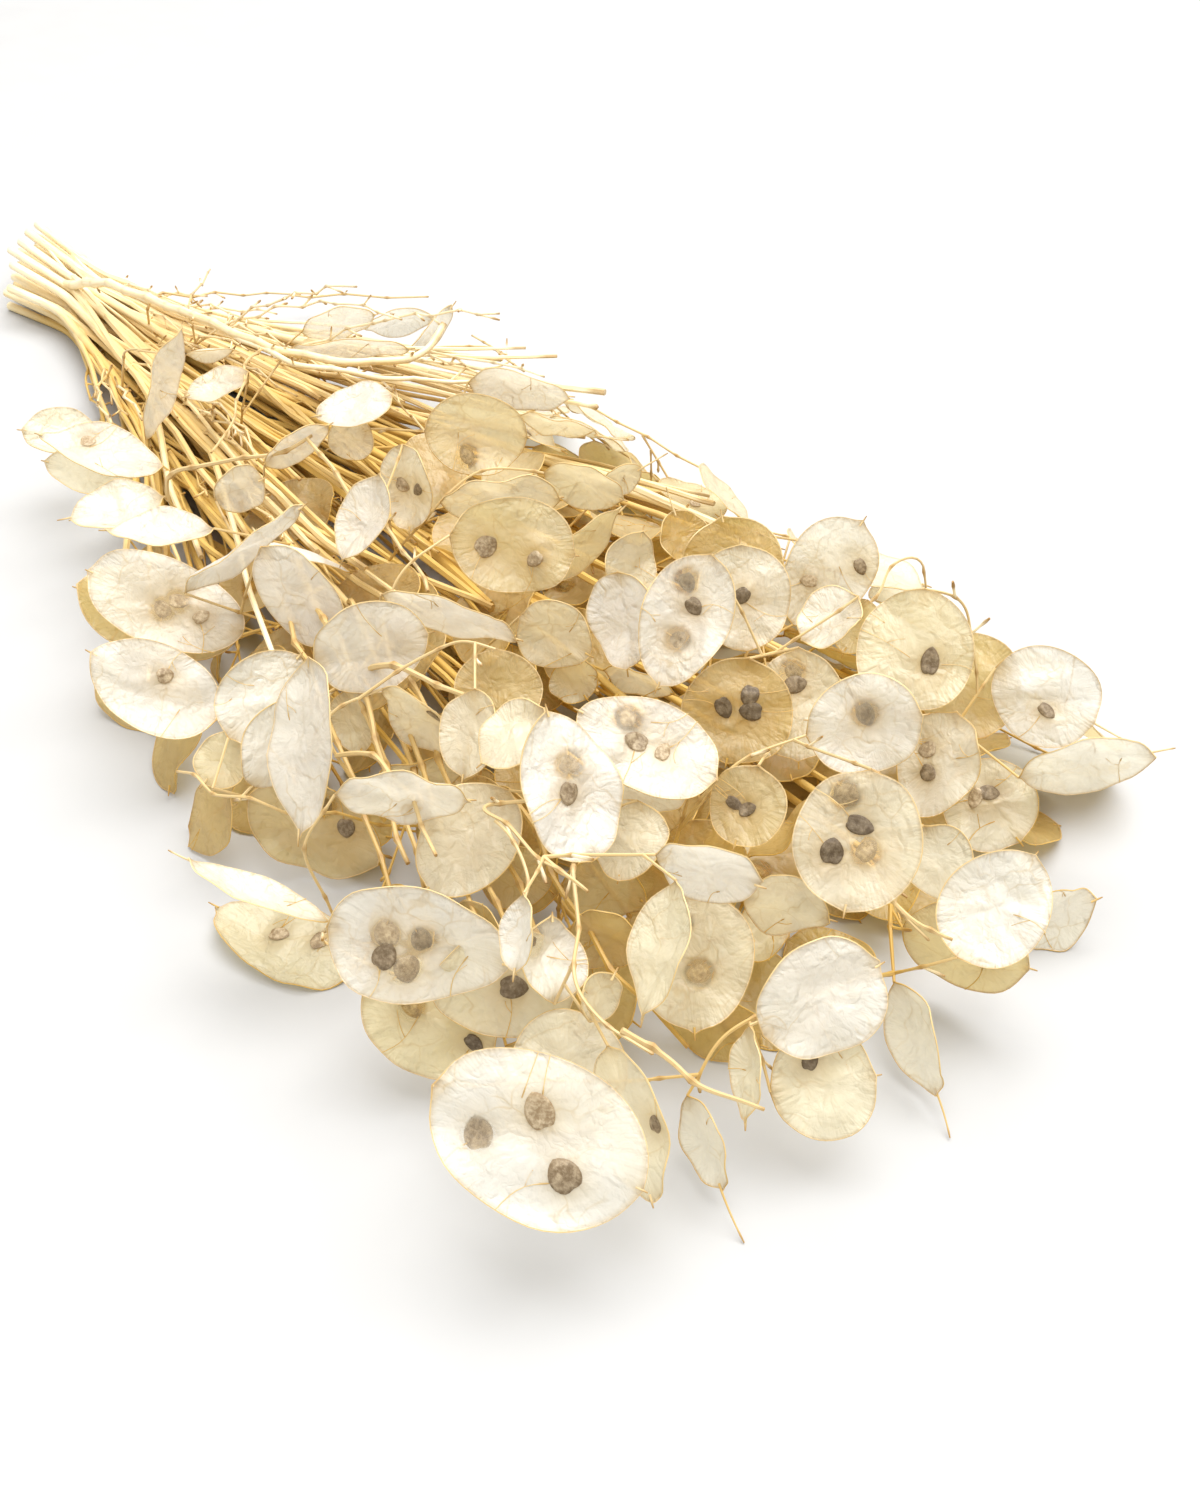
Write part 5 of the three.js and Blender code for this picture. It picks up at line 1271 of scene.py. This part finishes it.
def sheetPoint(pod, out, turn):
    form = pod["fine"]
    reach = np.ones_like(out)
    for count, phase, size in form["wobbles"]:
        reach += size * (np.sin(count * turn + phase) - math.sin(count * math.pi + phase))
    for end, cusp in ((0, form["tip"]), (math.pi, form["base"])):
        off = np.abs(np.abs(turn) - end)
        off = np.minimum(off, 2 * math.pi - off)
        reach += cusp * (np.exp(-(off / 0.11) ** 2) - 0.6 * np.exp(-(off / 0.5) ** 2) - 0.4 * (end > 0))
    along, across = outlinePoint(pod, turn, out * reach)
    places = raised(pod, along, across, relief(pod, along, across, out, turn))
    places[:, 2] = np.maximum(places[:, 2], disc["thickness"] + tableLevel)
    return along, across, places


def stains(pod, along, across):  # golden smudges round the seeds, the base and the tip
    spots = [(seed["place"], disc["seedStain"]) for seed in pod["fine"]["seeds"]]
    spots += [([-pod["long"] / 2, 0], disc["baseStain"]), ([pod["long"] / 2, 0], disc["tipStain"])]
    amount = np.zeros_like(along)
    for spot, (size, strength) in spots:
        away = (along - spot[0]) ** 2 + (across - spot[1]) ** 2
        amount = np.maximum(amount, strength * np.exp(-away / (size * size)))
    return amount


def seedWindow(pod, along, across):  # a wall is clearer where a seed lies against it
    clear = np.zeros_like(along)
    reach, edge = disc["clearing"]
    for seed in pod["fine"]["seeds"]:
        away = np.hypot(along - seed["place"][0], across - seed["place"][1])
        clear = np.maximum(clear, np.clip((reach - away) / edge, 0, 1) * (seed["face"] < 0))
    return clear


def shapeWall(model, out, turn, pod):
    along, across, places = sheetPoint(pod, out, turn)
    piece = copied(model, "wall", places)
    form = pod["fine"]
    setValues(piece.data, {
        "sheet": np.stack([along, across, along * 0 + form["offset"]], 1),
        "ring": np.stack([np.cos(turn) * disc["pleatTurn"], np.sin(turn) * disc["pleatTurn"],
                          out * disc["pleatOut"] + form["offset"]], 1),
        "rim": out, "stain": stains(pod, along, across), "tone": out * 0 + form["tone"],
        "window": seedWindow(pod, along, across), "solid": out * 0 + form["solid"]})
    return piece


def addRim(stem, pod):
    turn = 2 * np.pi * np.arange(disc["spokes"]) / disc["spokes"]
    _, _, places = sheetPoint(pod, np.ones(disc["spokes"]), turn)
    toBase = np.abs(turn - math.pi) / math.pi
    radii = disc["rimRadius"] * (1 + 0.35 * np.exp(-(toBase / 0.07) ** 2))
    brown = disc["rimBrown"] + disc["baseBrown"] * np.exp(-(toBase / 0.05) ** 2)
    addLine(stem, places, radii, brown, tan=1.0, cyclic=True)
    start = onBlade(pod, pod["long"] / 2, 0)
    length = pod["style"] if pod["style"] > 0 else vary(*disc["style"])
    at = np.linspace(-1.5, length, 4 if length < 4 else 9)
    bend = pod["face"] * (disc["styleBend"] * vary(-1, 1)) * (np.clip(at, 0, None)[:, None] ** 2)
    path = start + pod["length"] * at[:, None] + bend
    radii, brown = np.linspace(*disc["styleRadii"], len(at)), np.linspace(0.25, 0.15, len(at))
    radii[-2:], brown[-2:] = disc["styleTip"], disc["styleBrown"]
    addLine(stem, path, radii, brown, tan=0.8)


thread = {  # a vein on the wall, from its rim to a seed or to where one hung
    "bare": [1, 2, 2, 3],  # how many hold no seed, one of these drawn for each pod
    "points": 8, "radii": [0.14, 0.08], "endRadii": [0.2, 0.14],
    "brown": 0.12, "endBrown": [0.5, 0.6],
    "height": 0.17,  # of its middle over the wall
    "forkShare": 0.6, "forkTurn": [0.5, 1.1], "forkLength": [0.3, 0.6],
    "forkRadii": [0.12, 0.09], "forkBrown": [0.6, 0.2, 0.2, 0.2, 0.6],
}


def turnedFlat(way, angle):
    cos, sin = math.cos(angle), math.sin(angle)
    return np.array([way[0] * cos - way[1] * sin, way[0] * sin + way[1] * cos])


def discWay(pod, along, across):  # where on the disc a place of the wall lies
    turn = np.arctan2(across / (pod["wide"] / 2), along / (pod["long"] / 2))
    out = np.sqrt((along / pod["long"] * 2) ** 2 + (across / pod["wide"] * 2) ** 2)
    return np.clip(out, 0, 1), turn


def addThread(stem, pod, start, end, face, radii, brown):  # a vein that lies on the wall
    share = np.linspace(0, 1, len(radii))[:, None]
    bow = np.array([[vary(-0.14, 0.14), vary(-0.14, 0.14)]]) * np.sin(math.pi * share)
    line = start + (end - start) * share + bow * np.abs(end - start).max()
    along, across = line[:, 0], line[:, 1]
    out, turn = discWay(pod, along, across)
    height = relief(pod, along, across, out, turn) + face * thread["height"]
    addLine(stem, raised(pod, along, across, height), radii, brown, tan=1.0)
    return line


def addVeins(stem, pod):  # threads on the wall that a seed hangs or hung on
    half = pod["long"] / 2
    ends = [(seed["place"], seed) for seed in pod["fine"]["seeds"]]
    for _ in range(fine.choice(thread["bare"]) if len(ends) < 3 else 1):
        spot = np.array([vary(-0.5, 0.6) * half, vary(-0.32, 0.32) * pod["wide"]])
        ends.append((spot, None))
    for spot, seed in ends:
        side = 1 if spot[1] > 0 else -1
        foot = max(-0.88 * half, min(0.88 * half, spot[0] + vary(-0.45, 0.1) * half))
        start = np.array([foot, side * float(halfWidth(pod, foot))])
        face = seed["face"] if seed else fine.choice([-1, 1])
        if seed:
            spot = spot + unit(start - spot) * seed["radius"] * 0.8
        radii = np.linspace(*thread["radii"], thread["points"])
        brown = np.full(thread["points"], thread["brown"])
        radii[-2:], brown[-2:] = thread["endRadii"], thread["endBrown"]
        line = addThread(stem, pod, start, spot, face, radii, brown)
        if fine.random() < thread["forkShare"]:
            fork = line[thread["points"] // 2]
            turn = vary(*thread["forkTurn"]) * fine.choice([-1, 1])
            away = turnedFlat(spot - start, turn) * vary(*thread["forkLength"])
            end = np.array(keepInside(pod, *(fork + away)))
            brown = np.array(thread["forkBrown"])
            radii = np.linspace(*thread["forkRadii"], len(brown))
            addThread(stem, pod, fork, end, face, radii, brown)


# Seeds: one flat kidney is modelled, then copied, turned and laid on its wall.
kidney = {
    "radius": [0.094, 0.124],  # of the width of the pod
    "narrow": [0.62, 0.94], "flat": 0.12, "segments": 20, "rings": 10,
    "notch": 0.22, "notchWidth": 0.4, "point": 0.16, "rough": 0.14,
    "lift": 0.4,  # of its middle off the wall
    "behind": 0.5,  # share that lies on the far face
}


def modelSeed():
    bpy.ops.object.select_all(action="DESELECT")
    bpy.ops.mesh.primitive_uv_sphere_add(segments=kidney["segments"], ring_count=kidney["rings"])
    editAll()
    bpy.ops.transform.resize(value=(1.0, 1.0, kidney["flat"]))
    bpy.ops.object.mode_set(mode="OBJECT")
    model = bpy.context.object
    for vertex in model.data.vertices:
        place = vertex.co
        away = math.hypot(place.x - 1, place.y) / kidney["notchWidth"]
        place.x -= kidney["notch"] * math.exp(-away * away)
        place.x -= kidney["point"] * max(0, -place.x) ** 3 * (1 - abs(place.y))
        rough = math.sin(9 * place.x + 4 * place.y) * math.sin(8 * place.y - 3 * place.x)
        place.z *= 1 + kidney["rough"] * rough
    onlySelect(model)
    bpy.ops.object.shade_smooth()
    return model


def seatSeed(model, pod, seed):
    points = np.array([vertex.co for vertex in model.data.vertices])
    edge = lengthOf(points[:, :2])
    points *= seed["radius"]
    points[:, 1] *= seed["narrow"]
    along, across = turnedFlat(points.T, vary(0, 2 * math.pi)) + seed["place"][:, None]
    out, turn = discWay(pod, along, across)
    height = relief(pod, along, across, out, turn) + seed["face"] * kidney["lift"] + points[:, 2]
    places = raised(pod, along, across, height)
    places[:, 2] = np.maximum(places[:, 2], tableLevel)
    piece = copied(model, "seed", places)
    setValues(piece.data, {"tone": np.full(len(places), seed["tone"]), "edge": edge})
    return piece


# Finishes.
finish = {
    "cream": (0.95, 0.948, 0.93, 1), "warm": (0.90, 0.815, 0.48, 1), "golden": (0.62, 0.43, 0.12, 1),
    # deep: the painted shade colour of straw that lies deep in the bunch
    "rimTan": (0.68, 0.50, 0.22, 1), "deep": (0.60, 0.37, 0.06, 1),
    "straw": (0.96, 0.87, 0.63, 1), "strawDark": (0.86, 0.64, 0.29, 1), "knob": (0.34, 0.18, 0.04, 1),
    "seedDark": (0.07, 0.042, 0.016, 1), "seed": (0.31, 0.21, 0.105, 1),
    "seedPale": (0.62, 0.50, 0.33, 1),
    "wallAlpha": [0.46, 0.64],  # share of the light that each face of a wall stops
    "bleached": 0.3,  # more than that where the wall is thick
    "window": 0.35,  # of that share, where a seed lies behind
    "glow": 0.5,  # of what is stopped, the share that shines softly through
    "warmed": 0.08,  # how much the wall colours it
    "clear": (0.99, 0.983, 0.955, 1), "filter": (0.94, 0.81, 0.42, 1),
    "wallSkin": {"Roughness": 0.38, "Specular IOR Level": 1.0, "IOR": 1.6,
                 "Coat Weight": 0.4, "Coat Roughness": 0.32},
    "strawSkin": {"Roughness": 0.42, "Specular IOR Level": 0.45},
    "seedSkin": {"Roughness": 0.5},
    "wallRelief": {"Strength": 0.9, "Distance": 0.0016},
    "strawRelief": {"Strength": 0.5, "Distance": 0.0003},
    "seedRelief": {"Strength": 0.6, "Distance": 0.0004},
    "creases": [[0.08, 2.2], [0.26, 0.6]],  # how close they lie and how high they stand
    "pleats": 0.7,  # height of the fine folds at the rim
}


def newFinish(name):
    material = bpy.data.materials.new(name)
    material.use_nodes = True
    material.node_tree.nodes.clear()
    return material, material.node_tree


def add(tree, kind, inputs=None, **settings):  # a node with its settings, values and links
    node = tree.nodes.new("ShaderNode" + kind)
    for key, value in settings.items():
        setattr(node, key, value)
    for key, value in (inputs or {}).items():
        if isinstance(value, bpy.types.NodeSocket):
            tree.links.new(value, node.inputs[key])
        else:
            node.inputs[key].default_value = value
    return node


def blendColour(tree, share, first, second):
    node = add(tree, "Mix", {0: share, 6: first, 7: second}, data_type="RGBA")
    return node.outputs[2]


def count(tree, operation, first, second):
    return add(tree, "Math", {0: first, 1: second}, operation=operation).outputs[0]


def times(tree, first, second):
    return count(tree, "MULTIPLY", first, second)


def layered(tree, colour, coats):  # each coat covers what lies under it by its share
    for share, name in coats:
        colour = blendColour(tree, share, colour, finish[name])
    return colour


def skinOf(tree, kind, colour, height):
    bump = add(tree, "Bump", {**finish[kind + "Relief"], "Height": height}).outputs[0]
    inputs = {"Base Color": colour, "Normal": bump, **finish[kind + "Skin"]}
    return add(tree, "BsdfPrincipled", inputs).outputs[0], bump


def ramp(tree, value, low, high, toLow=0.0, toHigh=1.0):
    inputs = {0: value, 1: low, 2: high, 3: toLow, 4: toHigh}
    return add(tree, "MapRange", inputs, interpolation_type="SMOOTHSTEP").outputs[0]


def attribute(tree, name, output="Fac"):
    return add(tree, "Attribute", attribute_name=name).outputs[output]


def noise(tree, vector, scale, detail=3, rough=0.55):
    inputs = {"Vector": vector, "Scale": scale, "Detail": detail, "Roughness": rough}
    return add(tree, "TexNoise", inputs).outputs[0]


def noiseVector(tree, vector):  # a wandering offset of a few millimetres
    texture = add(tree, "TexNoise", {"Vector": vector, "Scale": 0.12, "Detail": 2})
    inputs = {0: texture.outputs["Color"], "Scale": 7.0}
    return add(tree, "VectorMath", inputs, operation="SCALE").outputs[0]


def crease(tree, vector, scale):  # sharp lines where a soft pattern changes sign
    soft = noise(tree, vector, scale, 3, 0.6)
    return count(tree, "ABSOLUTE", count(tree, "SUBTRACT", soft, 0.5), 0)


def finishWall():
    material, tree = newFinish("papery pod wall")
    sheet, ring = attribute(tree, "sheet", "Vector"), attribute(tree, "ring", "Vector")
    tone, rim, stain = (attribute(tree, name) for name in ("tone", "rim", "stain"))
    clouds = noise(tree, sheet, 0.07, 3, 0.6)
    fibres = noise(tree, sheet, 0.9, 2, 0.65)
    bent = add(tree, "VectorMath", {0: sheet, 1: noiseVector(tree, sheet)}, operation="ADD").outputs[0]
    veins = add(tree, "TexVoronoi", {"Vector": bent, "Scale": 0.1}, feature="DISTANCE_TO_EDGE")
    vein = times(tree, ramp(tree, veins.outputs["Distance"], 0.0, 0.035, 1, 0),
                 ramp(tree, clouds, 0.4, 0.62))
    # the tone carries the painted shade of deep walls: it colours them warm and golden
    warmth = count(tree, "ADD", times(tree, tone, 0.85), ramp(tree, clouds, 0.4, 0.75, 0, 0.08))
    colour = layered(tree, finish["cream"], [
        (warmth, "warm"),
        (ramp(tree, tone, 0.6, 1.0, 0, 0.6), "golden"),
        (ramp(tree, fibres, 0.42, 0.7, 0, 0.04), "rimTan"),
        (times(tree, vein, 0.3), "golden"),
        (times(tree, stain, 0.5), "golden"),
        (ramp(tree, rim, 0.93, 1.0, 0, 0.35), "rimTan"),
    ])
    broad, small = (times(tree, crease(tree, bent, close), high) for close, high in finish["creases"])
    pleats = times(tree, noise(tree, ring, 1.0, 2, 0.6), count(tree, "POWER", rim, 2.5))
    height = count(tree, "ADD", count(tree, "ADD", broad, small), times(tree, pleats, finish["pleats"]))
    skin, bump = skinOf(tree, "wall", colour, height)
    through = blendColour(tree, finish["warmed"], colour, finish["filter"])
    glow = add(tree, "BsdfTranslucent", {"Color": through, "Normal": bump})
    body = add(tree, "MixShader", {0: finish["glow"], 1: skin, 2: glow.outputs[0]})
    # the tone, painted shade included, also sets the tint of what the wall lets through
    tint = blendColour(tree, count(tree, "POWER", tone, 1.6), finish["clear"], finish["filter"])
    clear = add(tree, "BsdfTransparent", {"Color": tint})
    solid = count(tree, "ADD", ramp(tree, clouds, 0.3, 0.7, *finish["wallAlpha"]),
                  times(tree, attribute(tree, "solid"), finish["bleached"]))
    solid = count(tree, "MAXIMUM", solid, ramp(tree, rim, 0.96, 1.0))
    solid = times(tree, solid, ramp(tree, attribute(tree, "window"), 0, 1, 1, finish["window"]))
    whole = add(tree, "MixShader", {0: solid, 1: clear.outputs[0], 2: body.outputs[0]})
    add(tree, "OutputMaterial", {0: whole.outputs[0]})
    return material


def finishStraw():
    material, tree = newFinish("dry straw")
    grain = attribute(tree, "grain", "Vector")
    brown, tan, deep = (attribute(tree, name) for name in ("brown", "tan", "deep"))
    streaks = noise(tree, grain, 1.0, 2, 0.6)
    patches = noise(tree, grain, 0.17, 2, 0.5)
    specks = noise(tree, grain, 2.6, 3, 0.6)
    shade = count(tree, "ADD", ramp(tree, streaks, 0.35, 0.72, 0, 0.5),
                  ramp(tree, patches, 0.4, 0.75, 0, 0.4))
    colour = layered(tree, finish["straw"], [
        (shade, "strawDark"),
        (times(tree, tan, 0.85), "rimTan"),
        # painted shade: straw deep in the bunch turns dark golden
        (times(tree, deep, 0.9), "deep"),
        (ramp(tree, specks, 0.66, 0.74, 0, 0.35), "knob"),
        (brown, "knob"),
    ])
    add(tree, "OutputMaterial", {0: skinOf(tree, "straw", colour, streaks)[0]})
    return material


def finishSeed():
    material, tree = newFinish("brown seed")
    place = add(tree, "TexCoord").outputs["Object"]
    tone, edge = attribute(tree, "tone"), attribute(tree, "edge")
    mottle = noise(tree, place, 1100, 4, 0.65)
    patches = noise(tree, place, 420, 3, 0.5)
    pale = count(tree, "ADD", ramp(tree, mottle, 0.4, 0.64, 0, 0.55),
                 ramp(tree, patches, 0.4, 0.65, 0, 0.5))
    pale = times(tree, pale, ramp(tree, tone, 0, 1, 0.25, 1.0))
    pale = times(tree, pale, ramp(tree, edge, 0.8, 1.0, 1, 0.55))
    colour = layered(tree, finish["seedDark"], [(tone, "seed"), (pale, "seedPale")])
    add(tree, "OutputMaterial", {0: skinOf(tree, "seed", colour, mottle)[0]})
    return material


def makeTubes(name, group, resolution):  # open tubes first, so that their points stay in order
    curve = bpy.data.curves.new(name, "CURVE")
    curve.dimensions = "3D"
    curve.bevel_depth = 0.001
    curve.bevel_resolution = resolution
    for line in group:
        spline = curve.splines.new("POLY")
        spline.points.add(len(line["places"]) - 1)
        places = np.concatenate([inRow(line["places"]), np.ones((len(line["places"]), 1))], 1)
        spline.points.foreach_set("co", places.astype(np.float32).ravel())
        spline.points.foreach_set("radius", line["radii"].astype(np.float32))
        spline.use_cyclic_u = line["cyclic"]
        spline.use_smooth = True
    tubes = bpy.data.objects.new(name, curve)
    bpy.context.collection.objects.link(tubes)
    onlySelect(tubes)
    bpy.ops.object.convert(target="MESH")
    tubes = bpy.context.object
    sides = 4 + 2 * resolution
    around = 2 * np.pi * np.arange(sides) / sides
    grain = []
    for line in group:
        start = vary(0, 500)
        x = np.outer(line["radii"], np.cos(around)) + start
        y = np.outer(line["radii"], np.sin(around)) + start
        z = np.repeat((runAlong(line["places"]) * straw["grainStretch"])[:, None], sides, 1)
        grain.append(np.stack([x, y, z], -1).reshape(-1, 3))
    columns = {"grain": np.concatenate(grain)}
    for name in ["brown", "tan", "deep"]:
        columns[name] = np.repeat(np.clip(np.concatenate([line[name] for line in group]), 0, 1), sides)
    setValues(tubes.data, columns)
    editAll()
    bpy.ops.mesh.fill_holes(sides=0)
    bpy.ops.object.mode_set(mode="OBJECT")
    return tubes


def dress(piece, material, node):
    piece.data.materials.clear()
    piece.data.materials.append(material)
    onlySelect(piece)
    bpy.ops.object.shade_smooth_by_angle(angle=math.radians(straw["sharpest"]))
    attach(piece, "root")
    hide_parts(node)


def build():
    finishes = {"wall": finishWall(), "straw": finishStraw(), "seed": finishSeed()}
    discModel, seedModel = modelDisc(), modelSeed()
    out, turn = discPlaces(discModel)
    for pod in pods:
        pod["fine"] = formOf(pod)
        pod["twig"]["endsInPod"] = True
    for strand in strands:
        drawStrand(strand)
    for strand in strands:
        if strand["parent"] is None:
            addSideStraws(strand)
            for _ in range(wisp["perStem"]):
                addWisp(strand)
    for row in boughs:
        addBough(row)
    print("drawn", sum(len(group) for group in lines.values()), "straws")
    for pod in pods:
        stem = pod["twig"]["stem"]
        addRim(stem, pod)
        addVeins(stem, pod)
    for stem in range(len(frame["nodes"])):
        node = f"stem_{stem + 1:02d}"
        thick = [line for line in lines[stem] if line["thick"]]
        hairs = [line for line in lines[stem] if line["tan"][0] == 1]
        thin = [line for line in lines[stem] if not line["thick"] and line["tan"][0] < 1]
        tubes = [makeTubes("thick", thick, straw["stemSides"]), makeTubes("thin", thin, straw["twigSides"])]
        if hairs:
            tubes.append(makeTubes("hairs", hairs, straw["hairSides"]))
        piece = joined(tubes, node + "_straw")
        dress(piece, finishes["straw"], node)
        own = [pod for pod in pods if pod["twig"]["stem"] == stem]
        if not own:
            continue
        piece = joined([shapeWall(discModel, out, turn, pod) for pod in own], node + "_pods")
        solidify = piece.modifiers.new("papery", "SOLIDIFY")
        solidify.thickness = disc["thickness"] / 1000
        solidify.offset = 0
        bpy.ops.object.modifier_apply(modifier="papery")
        dress(piece, finishes["wall"], node)
        seeds = [seatSeed(seedModel, pod, seed) for pod in own for seed in pod["fine"]["seeds"]]
        if seeds:
            dress(joined(seeds, node + "_seeds"), finishes["seed"], node)
    bpy.data.objects.remove(discModel)
    bpy.data.objects.remove(seedModel)
    shown = [piece for piece in bpy.data.objects if piece.name.endswith(("_straw", "_pods", "_seeds"))]
    faces = [sum(len(face.vertices) - 2 for face in piece.data.polygons) for piece in shown]
    print("built", len(shown), "pieces,", sum(faces), "triangles, the largest", max(faces))


build()

# A pale table, soft light from behind and the camera.
stage = {
    "table": 6.0, "tableColour": (0.475, 0.475, 0.475, 1), "sky": (1.0, 0.975, 0.925, 1), "skyLight": 0.76,
    "lamps": [  # size, power, and how far right, behind and up
        [2.2, 94, [0.35, 0.4, 2.2]],
        [1.2, 4, [-0.3, -0.9, 1.1]],
    ],
    "lens": 39.58,
}


def setTable():
    bpy.ops.object.select_all(action="DESELECT")
    bpy.ops.mesh.primitive_plane_add(size=stage["table"], location=(0, 0, 0))
    table = bpy.context.object
    table.name = "table"
    material, tree = newFinish("pale table")
    place = add(tree, "TexCoord").outputs["Object"]
    grain = noise(tree, place, 40, 3, 0.5)
    colour = blendColour(tree, ramp(tree, grain, 0.3, 0.7, 0, 0.02), stage["tableColour"], (1, 1, 1, 1))
    skin = add(tree, "BsdfPrincipled", {"Base Color": colour, "Roughness": 0.8, "Specular IOR Level": 0.1})
    add(tree, "OutputMaterial", {0: skin.outputs[0]})
    table.data.materials.append(material)


def setLight():
    world = bpy.data.worlds.new("soft room")
    bpy.context.scene.world = world
    world.use_nodes = True
    sky = world.node_tree.nodes["Background"]
    sky.inputs[0].default_value = stage["sky"]
    sky.inputs[1].default_value = stage["skyLight"]
    level = unit(np.array([eyeForward[0], eyeForward[1], 0.0]))
    middle = inRow([0, 0, 0])
    for size, power, (right, behind, up) in stage["lamps"]:
        place = middle + eyeRight * right + level * behind + np.array([0, 0, up])
        bpy.ops.object.light_add(type="AREA", location=place)
        lamp = bpy.context.object
        lamp.data.size = size
        lamp.data.energy = power
        lamp.rotation_euler = Vector(middle - place).to_track_quat("-Z", "Y").to_euler()


def setCamera():
    bpy.ops.object.camera_add(location=inRow(eye))
    camera = bpy.context.object
    camera.rotation_euler = Vector(eyeForward).to_track_quat("-Z", "Y").to_euler()
    camera.data.lens = stage["lens"]
    camera.data.clip_start = 0.01
    bpy.context.scene.camera = camera


setTable()
setLight()
setCamera()
bpy.context.scene.view_settings.view_transform = "Standard"
